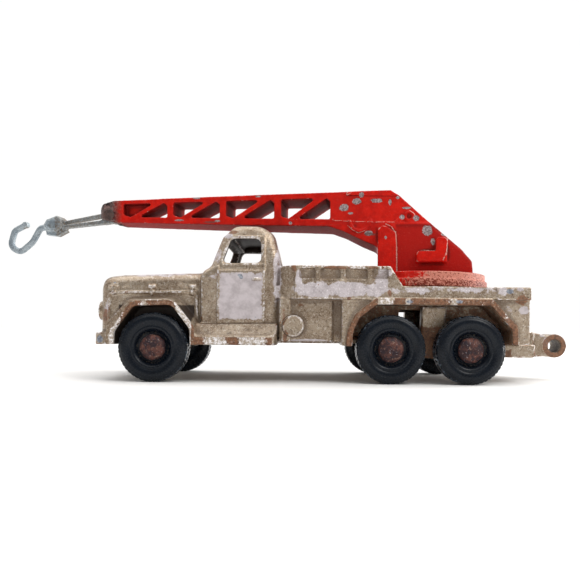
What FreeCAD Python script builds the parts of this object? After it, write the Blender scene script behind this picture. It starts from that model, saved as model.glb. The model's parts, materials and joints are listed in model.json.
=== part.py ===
import FreeCAD, Part
import Sketcher
import math
import os

# Die-cast toy crane truck, about 67 mm over the bumpers: six road wheels on
# three steel axles, a bonneted cab with open windows, a drop-side bed and a
# one-piece lattice jib that turns on the bed, with a free swinging hook.
#
# Frame: +X is the front of the truck, +Y its left side, +Z up.  The origin is
# under the middle of the whole toy, on the surface that the tyres stand on.
# Lengths are in millimetres.

os.makedirs("parts", exist_ok=True)
doc = FreeCAD.newDocument("toy_crane_truck")
sheet = doc.addObject("Spreadsheet::Sheet", "Dims")
V = FreeCAD.Vector


class Q:
    """A number together with the sheet expression that gives it."""

    def __init__(self, val, text):
        self.val = float(val)
        self.text = text

    def __add__(self, o):
        o = q(o)
        return Q(self.val + o.val, "(%s + %s)" % (self.text, o.text))

    def __radd__(self, o):
        return q(o) + self

    def __sub__(self, o):
        o = q(o)
        return Q(self.val - o.val, "(%s - %s)" % (self.text, o.text))

    def __rsub__(self, o):
        return q(o) - self

    def __mul__(self, o):
        o = q(o)
        return Q(self.val * o.val, "(%s * %s)" % (self.text, o.text))

    def __rmul__(self, o):
        return q(o) * self

    def __neg__(self):
        return Q(-self.val, "(0 - %s)" % self.text)


def q(x):
    if isinstance(x, Q):
        return x
    t = "%.6g" % x
    return Q(float(t), t if x >= 0 else "(0 - %.6g)" % -x)


P = {}
row = [1]


def cell(alias, value):
    r = row[0]
    row[0] += 1
    sheet.set("A%d" % r, alias)
    sheet.set("B%d" % r, "%g" % value)
    sheet.setAlias("B%d" % r, alias)
    P[alias] = Q(value, "Dims." + alias)
    return P[alias]


# ---- driving dimensions ---------------------------------------------------
shift_x = cell("frame_shift_x", -2.366)     # front-to-back centre of the toy
slew_deg = cell("slew_rest_deg", -8)       # jib turned to the right at rest

axle_z = cell("axle_height", 4.56)
ax_f = cell("front_axle_x", 17.06)
ax_m = cell("middle_axle_x", -14.21)
ax_r = cell("rear_axle_x", -24.67)
wheel_rad = cell("wheel_radius", 4.56)
wheel_in = cell("wheel_inner_y", 7.95)
wheel_out = cell("wheel_outer_y", 11.25)
rim_rad = cell("sidewall_inner_radius", 2.72)
hub_rad = cell("hub_recess_radius", 1.95)
hub_depth = cell("hub_recess_depth", 0.80)
axle_rad = cell("axle_radius", 0.75)
fit = cell("running_clearance", 0.05)
head_rad = cell("axle_head_radius", 1.70)
head_out = cell("axle_head_y", 11.5)

hood_hw = cell("hood_half_width", 8.3)
hood_front = cell("hood_front_x", 24.9)
hood_top_f = cell("hood_top_front_z", 14.05)
hood_top_r = cell("hood_top_rear_z", 14.75)
cab_hw = cell("cab_half_width", 9.45)
cab_front = cell("cab_front_x", 11.0)
cab_back = cell("cab_back_x", 0.4)
belt_z = cell("belt_z", 14.95)
roof_z = cell("roof_z", 21.25)
roof_hw = cell("roof_half_width", 7.75)
sill_z = cell("sill_z", 6.1)
skirt_z = cell("skirt_z", 4.95)
fender_hw = cell("fender_half_width", 11.2)
bumper_front = cell("bumper_front_x", 25.4)
bumper_hw = cell("bumper_half_width", 9.9)

bed_hw = cell("bed_half_width", 11.0)
bed_top = cell("bed_top_z", 12.9)
bed_under = cell("bed_underside_z", 11.6)
rail_bot = cell("rail_bottom_z", 11.3)
bed_back = cell("bed_back_x", -32.4)
lock_top = cell("locker_top_z", 15.5)
lock_in = cell("locker_inner_y", 9.5)
lock_back = cell("locker_back_x", -14.0)
arch_top = cell("arch_top_z", 10.46)
flank_y = cell("flank_y", 10.7)
lip_y = cell("arch_lip_y", 11.2)

well_in = cell("wheel_well_y", 7.6)
cav_hw = cell("cavity_half_width", 6.5)
wall = cell("shell_wall", 1.0)

plate_z = cell("plate_bottom_z", 5.2)
plate_th = cell("plate_thickness", 0.9)
plate_hw = cell("plate_half_width", 6.4)
lug_z = cell("lug_bottom_z", 3.15)
lug_hw = cell("lug_half_width", 7.7)
tow_x = cell("tow_eye_x", -39.43)
tow_z = cell("tow_eye_z", 5.05)
tow_rad = cell("tow_eye_outer_radius", 1.72)
tow_bore = cell("tow_eye_bore_radius", 0.96)
tow_hw = cell("tow_eye_half_width", 2.0)
rivet_rad = cell("base_rivet_radius", 0.8)
rivet_head = cell("base_rivet_head_radius", 1.7)
riv_fx = cell("front_rivet_x", 7.0)
riv_rx = cell("rear_rivet_x", -29.0)

turn_x = cell("turntable_x", -19.6)
disc_rad = cell("disc_radius", 10.0)
disc_z = cell("disc_bottom_z", 13.05)
disc_th = cell("disc_thickness", 2.05)
peg_rad = cell("turntable_peg_radius", 1.5)
peg_bot = cell("turntable_peg_bottom_z", 11.3)
trivet_rad = cell("turntable_rivet_radius", 0.8)
house_hw = cell("house_half_width", 4.15)
tip_hw = cell("tip_half_width", 2.25)
tip_x = cell("tip_end_x", 49.3)
pin_x = cell("hook_pin_x", 47.7)
pin_z = cell("hook_pin_z", 24.75)
pin_rad = cell("hook_pin_radius", 0.5)
eye_rad = cell("hook_eye_radius", 1.05)
eye_hw = cell("hook_eye_half_width", 0.75)
slot_hw = cell("tip_slot_half_width", 0.95)
hook_bar = cell("hook_bar_radius", 0.5)
doc.recompute()


# ---- helpers ----------------------------------------------------------------
def bind(obj, prop, value):
    value = q(value)
    obj.setExpression(prop, value.text)


def plane(body, role):
    return [f for f in body.Origin.OriginFeatures if f.Role == role][0]


def new_body(name, spin=False):
    b = doc.addObject("PartDesign::Body", name)
    b.Label = name
    if spin:
        # geometry is drawn about the turntable axis and then slewed about it
        b.Placement = FreeCAD.Placement(V(turn_x.val + shift_x.val, 0, 0), FreeCAD.Rotation(V(0, 0, 1), slew_deg.val))
        b.setExpression("Placement.Base.x", (turn_x + shift_x).text)
        b.setExpression("Placement.Rotation.Angle", slew_deg.text)
    else:
        b.Placement = FreeCAD.Placement(V(shift_x.val, 0, 0), FreeCAD.Rotation())
        b.setExpression("Placement.Base.x", shift_x.text)
    return b


def attach(sk, body, role, offset):
    sk.AttachmentSupport = [(plane(body, role), "")]
    sk.MapMode = "FlatFace"
    offset = q(offset)
    sk.AttachmentOffset = FreeCAD.Placement(V(0, 0, offset.val), FreeCAD.Rotation())
    sk.setExpression("AttachmentOffset.Base.z", offset.text)


def fix_point(sk, geo, pos, x, y):
    """Places a point of the sketch by two bound distances from its origin."""
    for kind, v in (("X", q(x)), ("Y", q(y))):
        if abs(v.val) < 1e-9:
            if kind == "X":
                sk.addConstraint(Sketcher.Constraint("PointOnObject", geo, pos, -2))
            else:
                sk.addConstraint(Sketcher.Constraint("PointOnObject", geo, pos, -1))
            continue
        i = sk.addConstraint(Sketcher.Constraint("Distance" + kind, -1, 1, geo, pos, v.val))
        if "Dims" in v.text:
            sk.setExpression("Constraints[%d]" % i, v.text)


def outline(sk, pts):
    """A closed outline.  Each point is (x, y) or (x, y, corner radius)."""
    n = len(pts)
    c = [V(q(p[0]).val, q(p[1]).val, 0) for p in pts]
    r = [q(p[2]).val if len(p) > 2 else 0.0 for p in pts]
    area = sum(c[i].x * c[(i + 1) % n].y - c[(i + 1) % n].x * c[i].y for i in range(n))
    if area < 0:
        pts = pts[::-1]
        c = c[::-1]
        r = r[::-1]
    # an inside corner is eased with two facets that follow its radius
    eased, pts2, r2 = [], [], []
    for i in range(n):
        a = (c[i - 1] - c[i]).normalize()
        b = (c[(i + 1) % n] - c[i]).normalize()
        turn = -a.x * b.y + a.y * b.x
        if r[i] > 0 and turn < 0:
            half = a.getAngle(b) / 2
            d = r[i] / math.tan(half)
            mid = (a + b).normalize()
            steps = [a * d, mid * (r[i] / math.sin(half) - r[i]), b * d]
        else:
            steps = [V(0, 0, 0)]
        for w in steps:
            eased.append(c[i] + w)
            pts2.append((q(pts[i][0]) + w.x, q(pts[i][1]) + w.y) + tuple(pts[i][2:] if len(steps) == 1 else ()))
            r2.append(r[i] if len(steps) == 1 else 0.0)
    pts, c, r, n = pts2, eased, r2, len(eased)
    ends_in, ends_out = [], []
    for i in range(n):
        if r[i] <= 0:
            ends_in.append(c[i])
            ends_out.append(c[i])
            continue
        a = (c[i - 1] - c[i]).normalize()
        b = (c[(i + 1) % n] - c[i]).normalize()
        half = a.getAngle(b) / 2
        d = r[i] / math.tan(half)
        ends_in.append(c[i] + a * d)
        ends_out.append(c[i] + b * d)
    lines = []
    for i in range(n):
        j = (i + 1) % n
        lines.append(sk.addGeometry(Part.LineSegment(ends_out[i], ends_in[j]), False))
    for i in range(n):
        before, after = lines[i - 1], lines[i]
        if r[i] <= 0:
            sk.addConstraint(Sketcher.Constraint("Coincident", before, 2, after, 1))
            fix_point(sk, after, 1, pts[i][0], pts[i][1])
            continue
        a = (c[i - 1] - c[i]).normalize()
        b = (c[(i + 1) % n] - c[i]).normalize()
        mid = (a + b).normalize()
        half = a.getAngle(b) / 2
        centre = c[i] + mid * (r[i] / math.sin(half))
        on_arc = centre - mid * r[i]
        arc = sk.addGeometry(Part.Arc(ends_in[i], on_arc, ends_out[i]), False)
        g = sk.Geometry[arc]
        first = g.StartPoint.sub(ends_in[i]).Length < 1e-6
        s_in, s_out = (1, 2) if first else (2, 1)
        sk.addConstraint(Sketcher.Constraint("Tangent", before, 2, arc, s_in))
        sk.addConstraint(Sketcher.Constraint("Tangent", after, 1, arc, s_out))
        k = sk.addConstraint(Sketcher.Constraint("Radius", arc, r[i]))
        if isinstance(pts[i][2], Q):
            sk.setExpression("Constraints[%d]" % k, pts[i][2].text)
        corner = sk.addGeometry(Part.Point(c[i]), True)
        fix_point(sk, corner, 1, pts[i][0], pts[i][1])
        sk.addConstraint(Sketcher.Constraint("PointOnObject", corner, 1, before))
        sk.addConstraint(Sketcher.Constraint("PointOnObject", corner, 1, after))
    return lines


def circle(sk, x, y, rad):
    rad = q(rad)
    g = sk.addGeometry(Part.Circle(V(q(x).val, q(y).val, 0), V(0, 0, 1), rad.val), False)
    k = sk.addConstraint(Sketcher.Constraint("Radius", g, rad.val))
    if "Dims" in rad.text:
        sk.setExpression("Constraints[%d]" % k, rad.text)
    fix_point(sk, g, 3, x, y)
    return g


def sketch(body, name, role, offset, shapes):
    sk = body.newObject("Sketcher::SketchObject", name)
    attach(sk, body, role, offset)
    for s in shapes:
        if s[0] == "o":
            outline(sk, s[1])
        else:
            circle(sk, s[1], s[2], s[3])
    return sk


def O(*pts):
    return ("o", list(pts))


def C(x, y, rad):
    return ("c", x, y, rad)


# A prism between two stations of one axis.  XZ sketches face -Y, so they hang
# on their far station and grow towards the near one.
def prism(body, name, role, lo, hi, shapes, cut=False, taper=0):
    lo, hi = q(lo), q(hi)
    if role == "XZ_Plane":
        off, length = -hi, hi - lo
    else:
        off, length = lo, hi - lo
    if cut:
        # a pocket runs against the sketch normal
        off = off + length
    sk = sketch(body, name + "_sketch", role, off, shapes)
    f = body.newObject("PartDesign::Pocket" if cut else "PartDesign::Pad", name)
    f.Profile = sk
    f.Length = length.val
    f.setExpression("Length", length.text)
    if taper:
        f.TaperAngle = taper
    f.Refine = True
    return f


def both(body, name, role, lo, hi, shapes, cut=False, taper=0):
    """The same XZ prism on the left and on the right side."""
    a = prism(body, name + "_left", role, lo, hi, shapes, cut, taper)
    b = prism(body, name + "_right", role, -q(hi), -q(lo), shapes, cut, -taper)
    return a, b


def flipped(pts):
    return O(*[(-q(p[0]),) + tuple(p[1:]) for p in pts[1]])


def mirrored_yz(body, name, lo, hi, shape, cut=False):
    """The same YZ profile on the left and on the right side."""
    prism(body, name + "_left", "YZ_Plane", lo, hi, [shape], cut)
    prism(body, name + "_right", "YZ_Plane", lo, hi, [flipped(shape)], cut)


def loft(body, name, role, sections, cut=False):
    sks = [sketch(body, "%s_section_%d" % (name, i), role, off, [shape]) for i, (off, shape) in enumerate(sections)]
    f = body.newObject("PartDesign::SubtractiveLoft" if cut else "PartDesign::AdditiveLoft", name)
    f.Profile = sks[0]
    f.Sections = sks[1:]
    f.Ruled = True
    return f


def revolve(body, name, role, offset, pts, axis_x, axis_y, along, cut=False):
    """Turns an outline about a line through (axis_x, axis_y) of its sketch."""
    sk = sketch(body, name + "_sketch", role, offset, [O(*pts)])
    ax, ay = q(axis_x), q(axis_y)
    d = V(0, 1, 0) if along == "y" else V(1, 0, 0)
    g = sk.addGeometry(Part.LineSegment(V(ax.val, ay.val, 0), V(ax.val, ay.val, 0) + d * 5), True)
    fix_point(sk, g, 1, ax, ay)
    sk.addConstraint(Sketcher.Constraint("Vertical" if along == "y" else "Horizontal", g))
    sk.addConstraint(Sketcher.Constraint("Distance", g, 5.0))
    f = body.newObject("PartDesign::Groove" if cut else "PartDesign::Revolution", name)
    f.Profile = sk
    f.ReferenceAxis = (sk, ["Axis0"])
    f.Angle = 360
    return f


def soften(body, name, radius, test, chamfer=False):
    """Rounds the edges of the current tip for which test(middle, a, b) holds."""
    doc.recompute()
    tip = body.Tip
    names = []
    for i, e in enumerate(tip.Shape.Edges):
        if e.Length < 0.05:
            continue
        m = e.valueAt((e.FirstParameter + e.LastParameter) / 2)
        if test(m, e.Vertexes[0].Point, e.Vertexes[-1].Point):
            names.append("Edge%d" % (i + 1))
    if not names:
        raise SystemExit("no edges for " + name)
    f = body.newObject("PartDesign::Chamfer" if chamfer else "PartDesign::Fillet", name)
    f.Base = (tip, names)
    radius = q(radius)
    if chamfer:
        f.Size = radius.val
        f.setExpression("Size", radius.text)
    else:
        f.Radius = radius.val
        f.setExpression("Radius", radius.text)
    doc.recompute()
    return f


def near(a, b, tol=0.06):
    return abs(a - b) < tol


# ---- truck body: bonnet, cab and bed in one hollow casting --------------------
# Everything that shows on both sides is drawn once, across the full width, and
# the hollow inside is taken out afterwards.
body = new_body("truck_body")
prism(body, "hood", "XZ_Plane", -hood_hw, hood_hw, [O(
    (hood_front, sill_z + 0.1), (hood_front, hood_top_f, 1.3), (hood_front - 3.0, hood_top_f + 0.22), (cab_front - 1.0, hood_top_r), (cab_front - 1.0, sill_z + 0.1))])
soften(body, "hood_shoulders", 1.5, lambda m, a, b: near(abs(a[1]), hood_hw.val) and near(abs(b[1]), hood_hw.val) and near(abs(m.y), hood_hw.val) and m.z > 12.0)
prism(body, "cab", "XZ_Plane", -cab_hw, cab_hw, [O(
    (cab_back, sill_z), (cab_front, sill_z), (cab_front, belt_z - 0.1, 0.4), (9.95, belt_z + 0.3), (8.4, 19.5, 1.2), (6.9, roof_z, 1.2),
    (3.2, roof_z, 1.4), (1.3, 20.05, 1.2), (cab_back + 0.15, 16.8))])
tumble = O((cab_hw, belt_z + 0.1), (roof_hw, roof_z + 0.1), (roof_hw, roof_z + 3.0), (cab_hw + 3.0, roof_z + 3.0), (cab_hw + 3.0, belt_z + 0.1))
prism(body, "tumblehome", "YZ_Plane", cab_back - 2.0, cab_front + 1.5, [tumble, flipped(tumble)], cut=True)
soften(body, "roof_sides", 1.1, lambda m, a, b: near(m.z, roof_z.val, 0.03) and abs(m.y) > 5.5 and abs(a[0] - b[0]) > 1.0)
soften(body, "cab_rear_corners", 1.6, lambda m, a, b: m.x < cab_back.val + 1.0 and near(abs(m.y), cab_hw.val, 0.1) and 6.5 < m.z < belt_z.val + 0.2 and abs(a[2] - b[2]) > 3)

# doors, handles, bonnet seams and catches
prism(body, "doors", "XZ_Plane", -(cab_hw + 0.16), cab_hw + 0.16, [O((2.6, 7.9, 0.5), (8.8, 7.9, 0.5), (8.8, belt_z - 0.1, 0.2), (2.6, belt_z - 0.1, 0.2))])
prism(body, "door_handles", "XZ_Plane", -(cab_hw + 0.5), cab_hw + 0.5, [O((3.0, 13.5), (4.2, 13.5), (4.2, 13.85), (3.0, 13.85))])
seams = [O((11.7, 11.78), (23.7, 11.78), (23.7, 12.02), (11.7, 12.02)),
         O((23.45, 7.4), (23.7, 7.4), (23.7, 11.6), (23.45, 11.6)),
         O((11.65, 8.1), (11.95, 8.1), (11.95, 11.6), (11.65, 11.6))]
prism(body, "hood_seams", "XZ_Plane", -(hood_hw + 0.14), hood_hw + 0.14, seams)
catches = [O((x - 0.22, 11.6), (x + 0.22, 11.6), (x + 0.22, 12.5), (x + 0.5, 12.5), (x + 0.5, 12.9), (x - 0.5, 12.9), (x - 0.5, 12.5), (x - 0.22, 12.5)) for x in (23.0, 17.8, 12.4)]
prism(body, "hood_catches", "XZ_Plane", -(hood_hw + 0.24), hood_hw + 0.24, catches)

# bed deck with its drop rails, and the lockers along both sides of its front
prism(body, "bed", "XZ_Plane", -bed_hw, bed_hw, [O(
    (bed_back, rail_bot), (cab_back + 0.6, rail_bot), (cab_back + 0.6, bed_top), (bed_back, bed_top))])
lock_pts = [(cab_back + 0.1, 11.1), (cab_back + 0.1, lock_top), (lock_back, lock_top), (lock_back - 1.55, 13.1), (lock_back - 1.55, 11.1)]
prism(body, "locker_core", "XZ_Plane", -(bed_hw - 0.35), bed_hw - 0.35, [O(*lock_pts)])
prism(body, "locker_frame", "XZ_Plane", -bed_hw, bed_hw, [O(*lock_pts), O((-13.75, 13.8), (-2.1, 13.8), (-2.1, 15.1), (-13.75, 15.1))])
prism(body, "locker_ribs", "XZ_Plane", -(bed_hw + 0.1), bed_hw + 0.1, [O((x0, z0), (x1, z0), (x1, 15.2), (x0, 15.2)) for x0, x1, z0 in ((-4.8, -4.2, 12.65), (-7.7, -7.45, 13.7), (-8.15, -7.9, 13.7), (-11.6, -11.0, 12.65))])
prism(body, "locker_corners", "XY_Plane", 11.0, 16.5, [
    O((cab_back + 0.2, lock_in - 0.2), (cab_back + 1.5, lock_in), (cab_back + 1.5, 12.5), (-1.26, 12.5), (-1.26, bed_hw)),
    O((cab_back + 0.2, -(lock_in - 0.2)), (cab_back + 1.5, -lock_in), (cab_back + 1.5, -12.5), (-1.26, -12.5), (-1.26, -bed_hw))], cut=True)
prism(body, "bed_space", "XZ_Plane", -lock_in, lock_in, [O(
    (cab_back - 0.0, bed_top), (cab_back - 0.0, 17.0), (lock_back - 3.0, 17.0), (lock_back - 3.0, bed_top))], cut=True)

# under-bed boxes behind the cab, with the filler cap
prism(body, "side_boxes", "XZ_Plane", -9.9, 9.9, [O(
    (-6.6, 5.5), (cab_back + 0.1, 5.5), (cab_back + 0.1, 11.4), (-7.6, 11.4), (-7.6, 10.9), (-6.6, 10.9))])
prism(body, "box_front_strip", "XZ_Plane", -10.2, 10.2, [O(
    (-0.95, 5.5), (cab_back + 0.1, 5.5), (cab_back + 0.1, 11.2), (-0.95, 11.2))])
prism(body, "box_end_panels", "XZ_Plane", -9.55, 9.55, [O((-7.9, 5.5), (-6.4, 5.5), (-6.4, 11.4), (-7.9, 11.4))])
prism(body, "filler_caps", "XZ_Plane", -10.5, 10.5, [C(-1.34, 7.55, 1.45)])
# rear flanks round the paired wheels
prism(body, "flanks", "XZ_Plane", -flank_y, flank_y, [O(
    (-7.7, 5.0), (-7.7, 11.4), (bed_back, 11.4), (bed_back, 5.4), (-30.3, 5.4), (-29.0, 5.0))])
prism(body, "rear_lips", "XZ_Plane", -lip_y, lip_y, [O(
    (-8.2, 4.95, 0.2), (-8.5, 7.1, 2.0), (-9.4, 9.1, 1.5), (-12.0, 11.22, 0.8), (-27.5, 11.22, 0.8), (-30.7, 7.5, 0.8), (-30.85, 5.35), (-29.0, 5.35), (-29.0, 4.95)),
    ])
prism(body, "rear_lamp_blocks", "XZ_Plane", -lip_y, lip_y, [O((-28.0, 11.2), (bed_back, 11.2), (bed_back, bed_top - 0.05), (-28.0, bed_top - 0.05))])

# front wings
wing_out = O((23.3, 4.9), (23.0, 7.6, 0.8), (20.3, 10.7, 0.9), (14.6, 10.95, 1.6), (11.8, 7.3, 0.9), (11.0, 4.95), (14.0, 4.9))
wing_base = O((23.9, 4.9), (23.7, 7.7, 0.8), (20.9, 11.1, 0.9), (14.3, 11.4, 1.6), (10.5, 7.3, 0.9), (9.9, 4.95), (14.0, 4.9))
loft(body, "wing_left", "XZ_Plane", [(-(hood_hw - 0.8), wing_base), (-fender_hw, wing_out)])
loft(body, "wing_right", "XZ_Plane", [(hood_hw - 0.8, wing_base), (fender_hw, wing_out)])

# running boards and the sloped valances above them
prism(body, "running_boards", "YZ_Plane", 0.8, cab_front + 0.4, [O(
    (-fender_hw, skirt_z, 0.2), (fender_hw, skirt_z, 0.2), (fender_hw, sill_z, 0.3), (fender_hw - 0.7, sill_z + 0.35), (cab_hw + 0.2, 7.8),
    (-(cab_hw + 0.2), 7.8), (-(fender_hw - 0.7), sill_z + 0.35), (-fender_hw, sill_z, 0.3))])
prism(body, "board_ends", "XY_Plane", 4.0, 7.8, [
    O((0.75, sy * (fender_hw - 1.3)), (1.15, sy * (fender_hw - 0.45)), (2.1, sy * fender_hw), (2.1, sy * (fender_hw + 1.0)), (0.2, sy * (fender_hw + 1.0)), (0.2, sy * (fender_hw - 1.3))) for sy in (1, -1)], cut=True)

# bumper with its wrapped ends
prism(body, "bumper", "XY_Plane", 4.86, 6.45, [O(
    (22.3, -9.0), (22.3, 9.0), (23.2, bumper_hw, 0.4), (bumper_front - 0.5, bumper_hw, 0.8), (bumper_front, 7.5, 3.0), (bumper_front, -7.5, 3.0), (bumper_front - 0.5, -bumper_hw, 0.8), (23.2, -bumper_hw, 0.4))])

# hollow inside: bonnet, cab and bed
prism(body, "hood_cavity", "XZ_Plane", -cav_hw, cav_hw, [O(
    (cab_front - 3.0, 3.0), (23.7, 3.0), (23.7, hood_top_f - 1.4, 0.8), (cab_front - 3.0, hood_top_r - 1.3))], cut=True)
prism(body, "cab_cavity", "XZ_Plane", -(cab_hw - wall), cab_hw - wall, [O(
    (cab_back + 1.0, 7.9), (10.0, 7.9), (10.0, belt_z - 0.6), (9.2, belt_z), (cab_back + 1.0, belt_z))], cut=True)
loft(body, "cab_upper_cavity", "XY_Plane", [
    (belt_z - 0.05, O((cab_back + 1.0, -8.4), (9.1, -8.4), (9.1, 8.4), (cab_back + 1.0, 8.4))),
    (19.3, O((2.1, -7.3), (7.4, -7.3), (7.4, 7.3), (2.1, 7.3)))], cut=True)
prism(body, "roof_cavity", "XY_Plane", 19.25, roof_z - 1.0, [O((2.5, -7.0), (6.8, -7.0), (6.8, 7.0), (2.5, 7.0))], cut=True)
prism(body, "floor_cavity", "XZ_Plane", -cav_hw, cav_hw, [O((-31.2, 3.0), (cab_front, 3.0), (cab_front, 8.2), (cab_back + 1.0, 8.2), (cab_back + 1.0, 8.6), (-8.0, bed_under), (-31.2, bed_under))], cut=True)

# wheel openings
both(body, "front_well", "XZ_Plane", well_in, fender_hw + 1.0, [O(
    (22.15, 3.0), (22.1, 6.6, 1.2), (19.6, 10.0, 1.2), (14.6, 10.15, 1.2), (12.2, 7.0, 1.2), (12.1, 3.0))], cut=True)
prism(body, "rear_well", "XZ_Plane", -13.0, 13.0, [O(
    (-8.95, 3.0), (-9.2, 6.9, 2.0), (-10.0, 8.7, 1.5), (-12.3, arch_top, 0.8), (-27.2, arch_top, 0.8), (-30.0, 7.3, 0.8), (-30.1, 3.0))], cut=True)
# webs under the bed that close the arches behind the wheels, with a window in each
both(body, "inner_webs", "XZ_Plane", 4.7, 5.75, [O((-8.2, 6.2), (-8.2, 10.7), (-31.3, 10.7), (-31.3, 6.2))])
prism(body, "web_windows", "XZ_Plane", -6.4, 6.4, [O((-16.0, 7.3, 0.3), (-16.0, 9.95, 0.3), (-20.2, 9.95, 0.3), (-20.2, 7.3, 0.3))], cut=True)
# clearance for the front axle and for the base's tail
prism(body, "front_axle_slot", "XZ_Plane", -fender_hw, fender_hw, [O((ax_f - 1.0, 3.0), (ax_f + 1.0, 3.0), (ax_f + 1.0, 5.5, 0.3), (ax_f - 1.0, 5.5, 0.3))], cut=True)
prism(body, "tail_notch", "XZ_Plane", -3.3, 3.3, [O((-33.0, 3.0), (-31.0, 3.0), (-31.0, 6.2), (-33.0, 6.2))], cut=True)
# open windows
prism(body, "side_windows", "XZ_Plane", -12.0, 12.0, [O(
    (7.15, 19.3, 0.7), (3.15, 19.3, 0.8), (3.05, 15.95, 0.7), (8.3, 15.9, 0.5))], cut=True)
prism(body, "windscreen", "YZ_Plane", 7.0, 13.0, [O(
    (-6.7, 15.95, 0.7), (6.7, 15.95, 0.7), (6.1, 19.0, 0.8), (-6.1, 19.0, 0.8))], cut=True)
prism(body, "rear_window", "YZ_Plane", -1.0, 3.0, [O(
    (-4.6, 16.4, 0.6), (4.6, 16.4, 0.6), (4.3, 19.0, 0.6), (-4.3, 19.0, 0.6))], cut=True)

# front face: grille slot with its bars, and headlamps
prism(body, "grille_recess", "YZ_Plane", hood_front - 0.45, hood_front + 1.0, [O(
    (-4.3, 7.3, 0.6), (4.3, 7.3, 0.6), (4.3, 12.3, 0.8), (-4.3, 12.3, 0.8))], cut=True)
bars = [((i - 4) * 0.92) for i in range(9)]
prism(body, "grille_bars", "YZ_Plane", hood_front - 0.6, hood_front - 0.08, [O((y - 0.17, 7.2), (y + 0.17, 7.2), (y + 0.17, 12.4), (y - 0.17, 12.4)) for y in bars])
prism(body, "headlamps", "YZ_Plane", hood_front - 0.3, hood_front + 0.45, [C(6.3, 9.4, 1.3), C(-6.3, 9.4, 1.3)])
prism(body, "headlamp_dishes", "YZ_Plane", hood_front + 0.15, hood_front + 1.0, [C(6.3, 9.4, 0.95), C(-6.3, 9.4, 0.95)], cut=True)

# posts for the base rivets, and the turntable bearing
prism(body, "front_post", "XY_Plane", plate_z + plate_th, hood_top_r - 1.0, [C(ax_f - 3.0, 0, 1.9)])
prism(body, "rear_post", "XY_Plane", plate_z + plate_th, bed_under + 0.1, [C(riv_rx, 0, 1.9)])
prism(body, "rivet_holes", "XY_Plane", plate_z - 1.0, 10.0, [C(ax_f - 3.0, 0, rivet_rad), C(riv_rx, 0, rivet_rad)], cut=True)
prism(body, "turntable_hole", "XY_Plane", 10.6, 14.0, [C(turn_x, 0, peg_rad + fit)], cut=True)

# ---- base plate ------------------------------------------------------------------
base = new_body("base_plate")
prism(base, "pan", "XY_Plane", plate_z, plate_z + plate_th, [O((-31.1, -plate_hw), (22.0, -plate_hw), (22.0, plate_hw), (-31.1, plate_hw))])
prism(base, "front_lug", "XZ_Plane", -plate_hw, plate_hw, [O(
    (14.2, plate_z + 0.3), (15.6, lug_z, 0.5), (18.6, lug_z, 0.5), (19.8, plate_z + 0.3))])
prism(base, "front_lug_top", "XZ_Plane", -plate_hw, plate_hw, [O((16.15, 5.5), (18.4, 5.5), (18.4, 6.6), (16.15, 6.6))])
prism(base, "middle_lug", "XZ_Plane", -lug_hw, lug_hw, [O(
    (ax_m - 2.2, plate_z + 0.9), (ax_m - 1.5, lug_z, 0.5), (ax_m + 1.5, lug_z, 0.5), (ax_m + 2.2, plate_z + 0.9))])
prism(base, "rear_lug", "XZ_Plane", -lug_hw, lug_hw, [O(
    (ax_r - 2.2, plate_z + 0.9), (ax_r - 1.5, lug_z, 0.5), (ax_r + 1.5, lug_z, 0.5), (ax_r + 2.2, plate_z + 0.9))])
both(base, "bogie_bracket", "XZ_Plane", 5.9, 7.3, [O(
    (-18.95, arch_top - 0.05), (-22.4, arch_top - 0.05), (-21.7, 5.0), (-20.7, 3.3, 0.4), (-19.4, 3.3, 0.4), (-18.75, 5.0))])
prism(base, "pan_rear", "XY_Plane", plate_z, plate_z + plate_th, [O((-31.1, -6.4), (-29.95, -6.4), (-29.95, -7.4), (-26.0, -7.4), (-26.0, 7.4), (-29.95, 7.4), (-29.95, 6.4), (-31.1, 6.4))])
prism(base, "tail", "XZ_Plane", -3.2, 3.2, [O(
    (-28.0, plate_z + 0.3), (-29.4, 3.5, 0.5), (-35.6, 3.4, 0.8), (tow_x + 0.4, tow_z - 1.5), (tow_x + 0.4, tow_z + 1.4), (-36.6, 6.9, 1.2), (-34.2, 7.3, 1.5), (bed_back - 0.05, 9.6, 0.3), (bed_back - 0.05, plate_z + 0.9), (-30.6, plate_z + 0.9))])
prism(base, "tail_side", "XZ_Plane", -7.4, 7.4, [O((-28.6, plate_z + 0.3), (-29.5, 3.55, 0.4), (-34.6, 3.5, 0.6), (-34.4, 5.3), (-28.6, 5.3))])
prism(base, "tow_eye", "XZ_Plane", -tow_hw, tow_hw, [C(tow_x, tow_z, tow_rad)])
both(base, "tail_neck", "XZ_Plane", tow_hw, 6.0, [O((tow_x - 3.0, 1.0), (-36.2, 1.0), (-35.6, 3.3), (-36.1, 7.2), (-36.6, 9.0), (tow_x - 3.0, 9.0))], cut=True)
prism(base, "tow_bore", "XZ_Plane", -6.0, 6.0, [C(tow_x, tow_z, tow_bore)], cut=True)
prism(base, "axle_bores", "XZ_Plane", -12.0, 12.0, [C(x, axle_z, axle_rad + fit) for x in (ax_f, ax_m, ax_r)], cut=True)
prism(base, "rivet_bores", "XY_Plane", 2.0, 8.0, [C(ax_f - 3.0, 0, rivet_rad), C(riv_rx, 0, rivet_rad)], cut=True)
# flat seats for the rivet heads
prism(base, "rivet_seats", "XY_Plane", 2.0, plate_z, [C(ax_f - 3.0, 0, rivet_head + 0.15), C(riv_rx, 0, rivet_head + 0.15)], cut=True)

# ---- base rivets -------------------------------------------------------------------
for name, x in (("base_rivet_front", ax_f - 3.0), ("base_rivet_rear", riv_rx)):
    b = new_body(name)
    revolve(b, "rivet", "XZ_Plane", 0, [
        (x, plate_z - 0.75), (x + 0.9, plate_z - 0.7), (x + rivet_head, plate_z - 0.35), (x + rivet_head, plate_z), (x + rivet_rad, plate_z), (x + rivet_rad, 9.9), (x, 9.9)], x, 0, "y")

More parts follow.
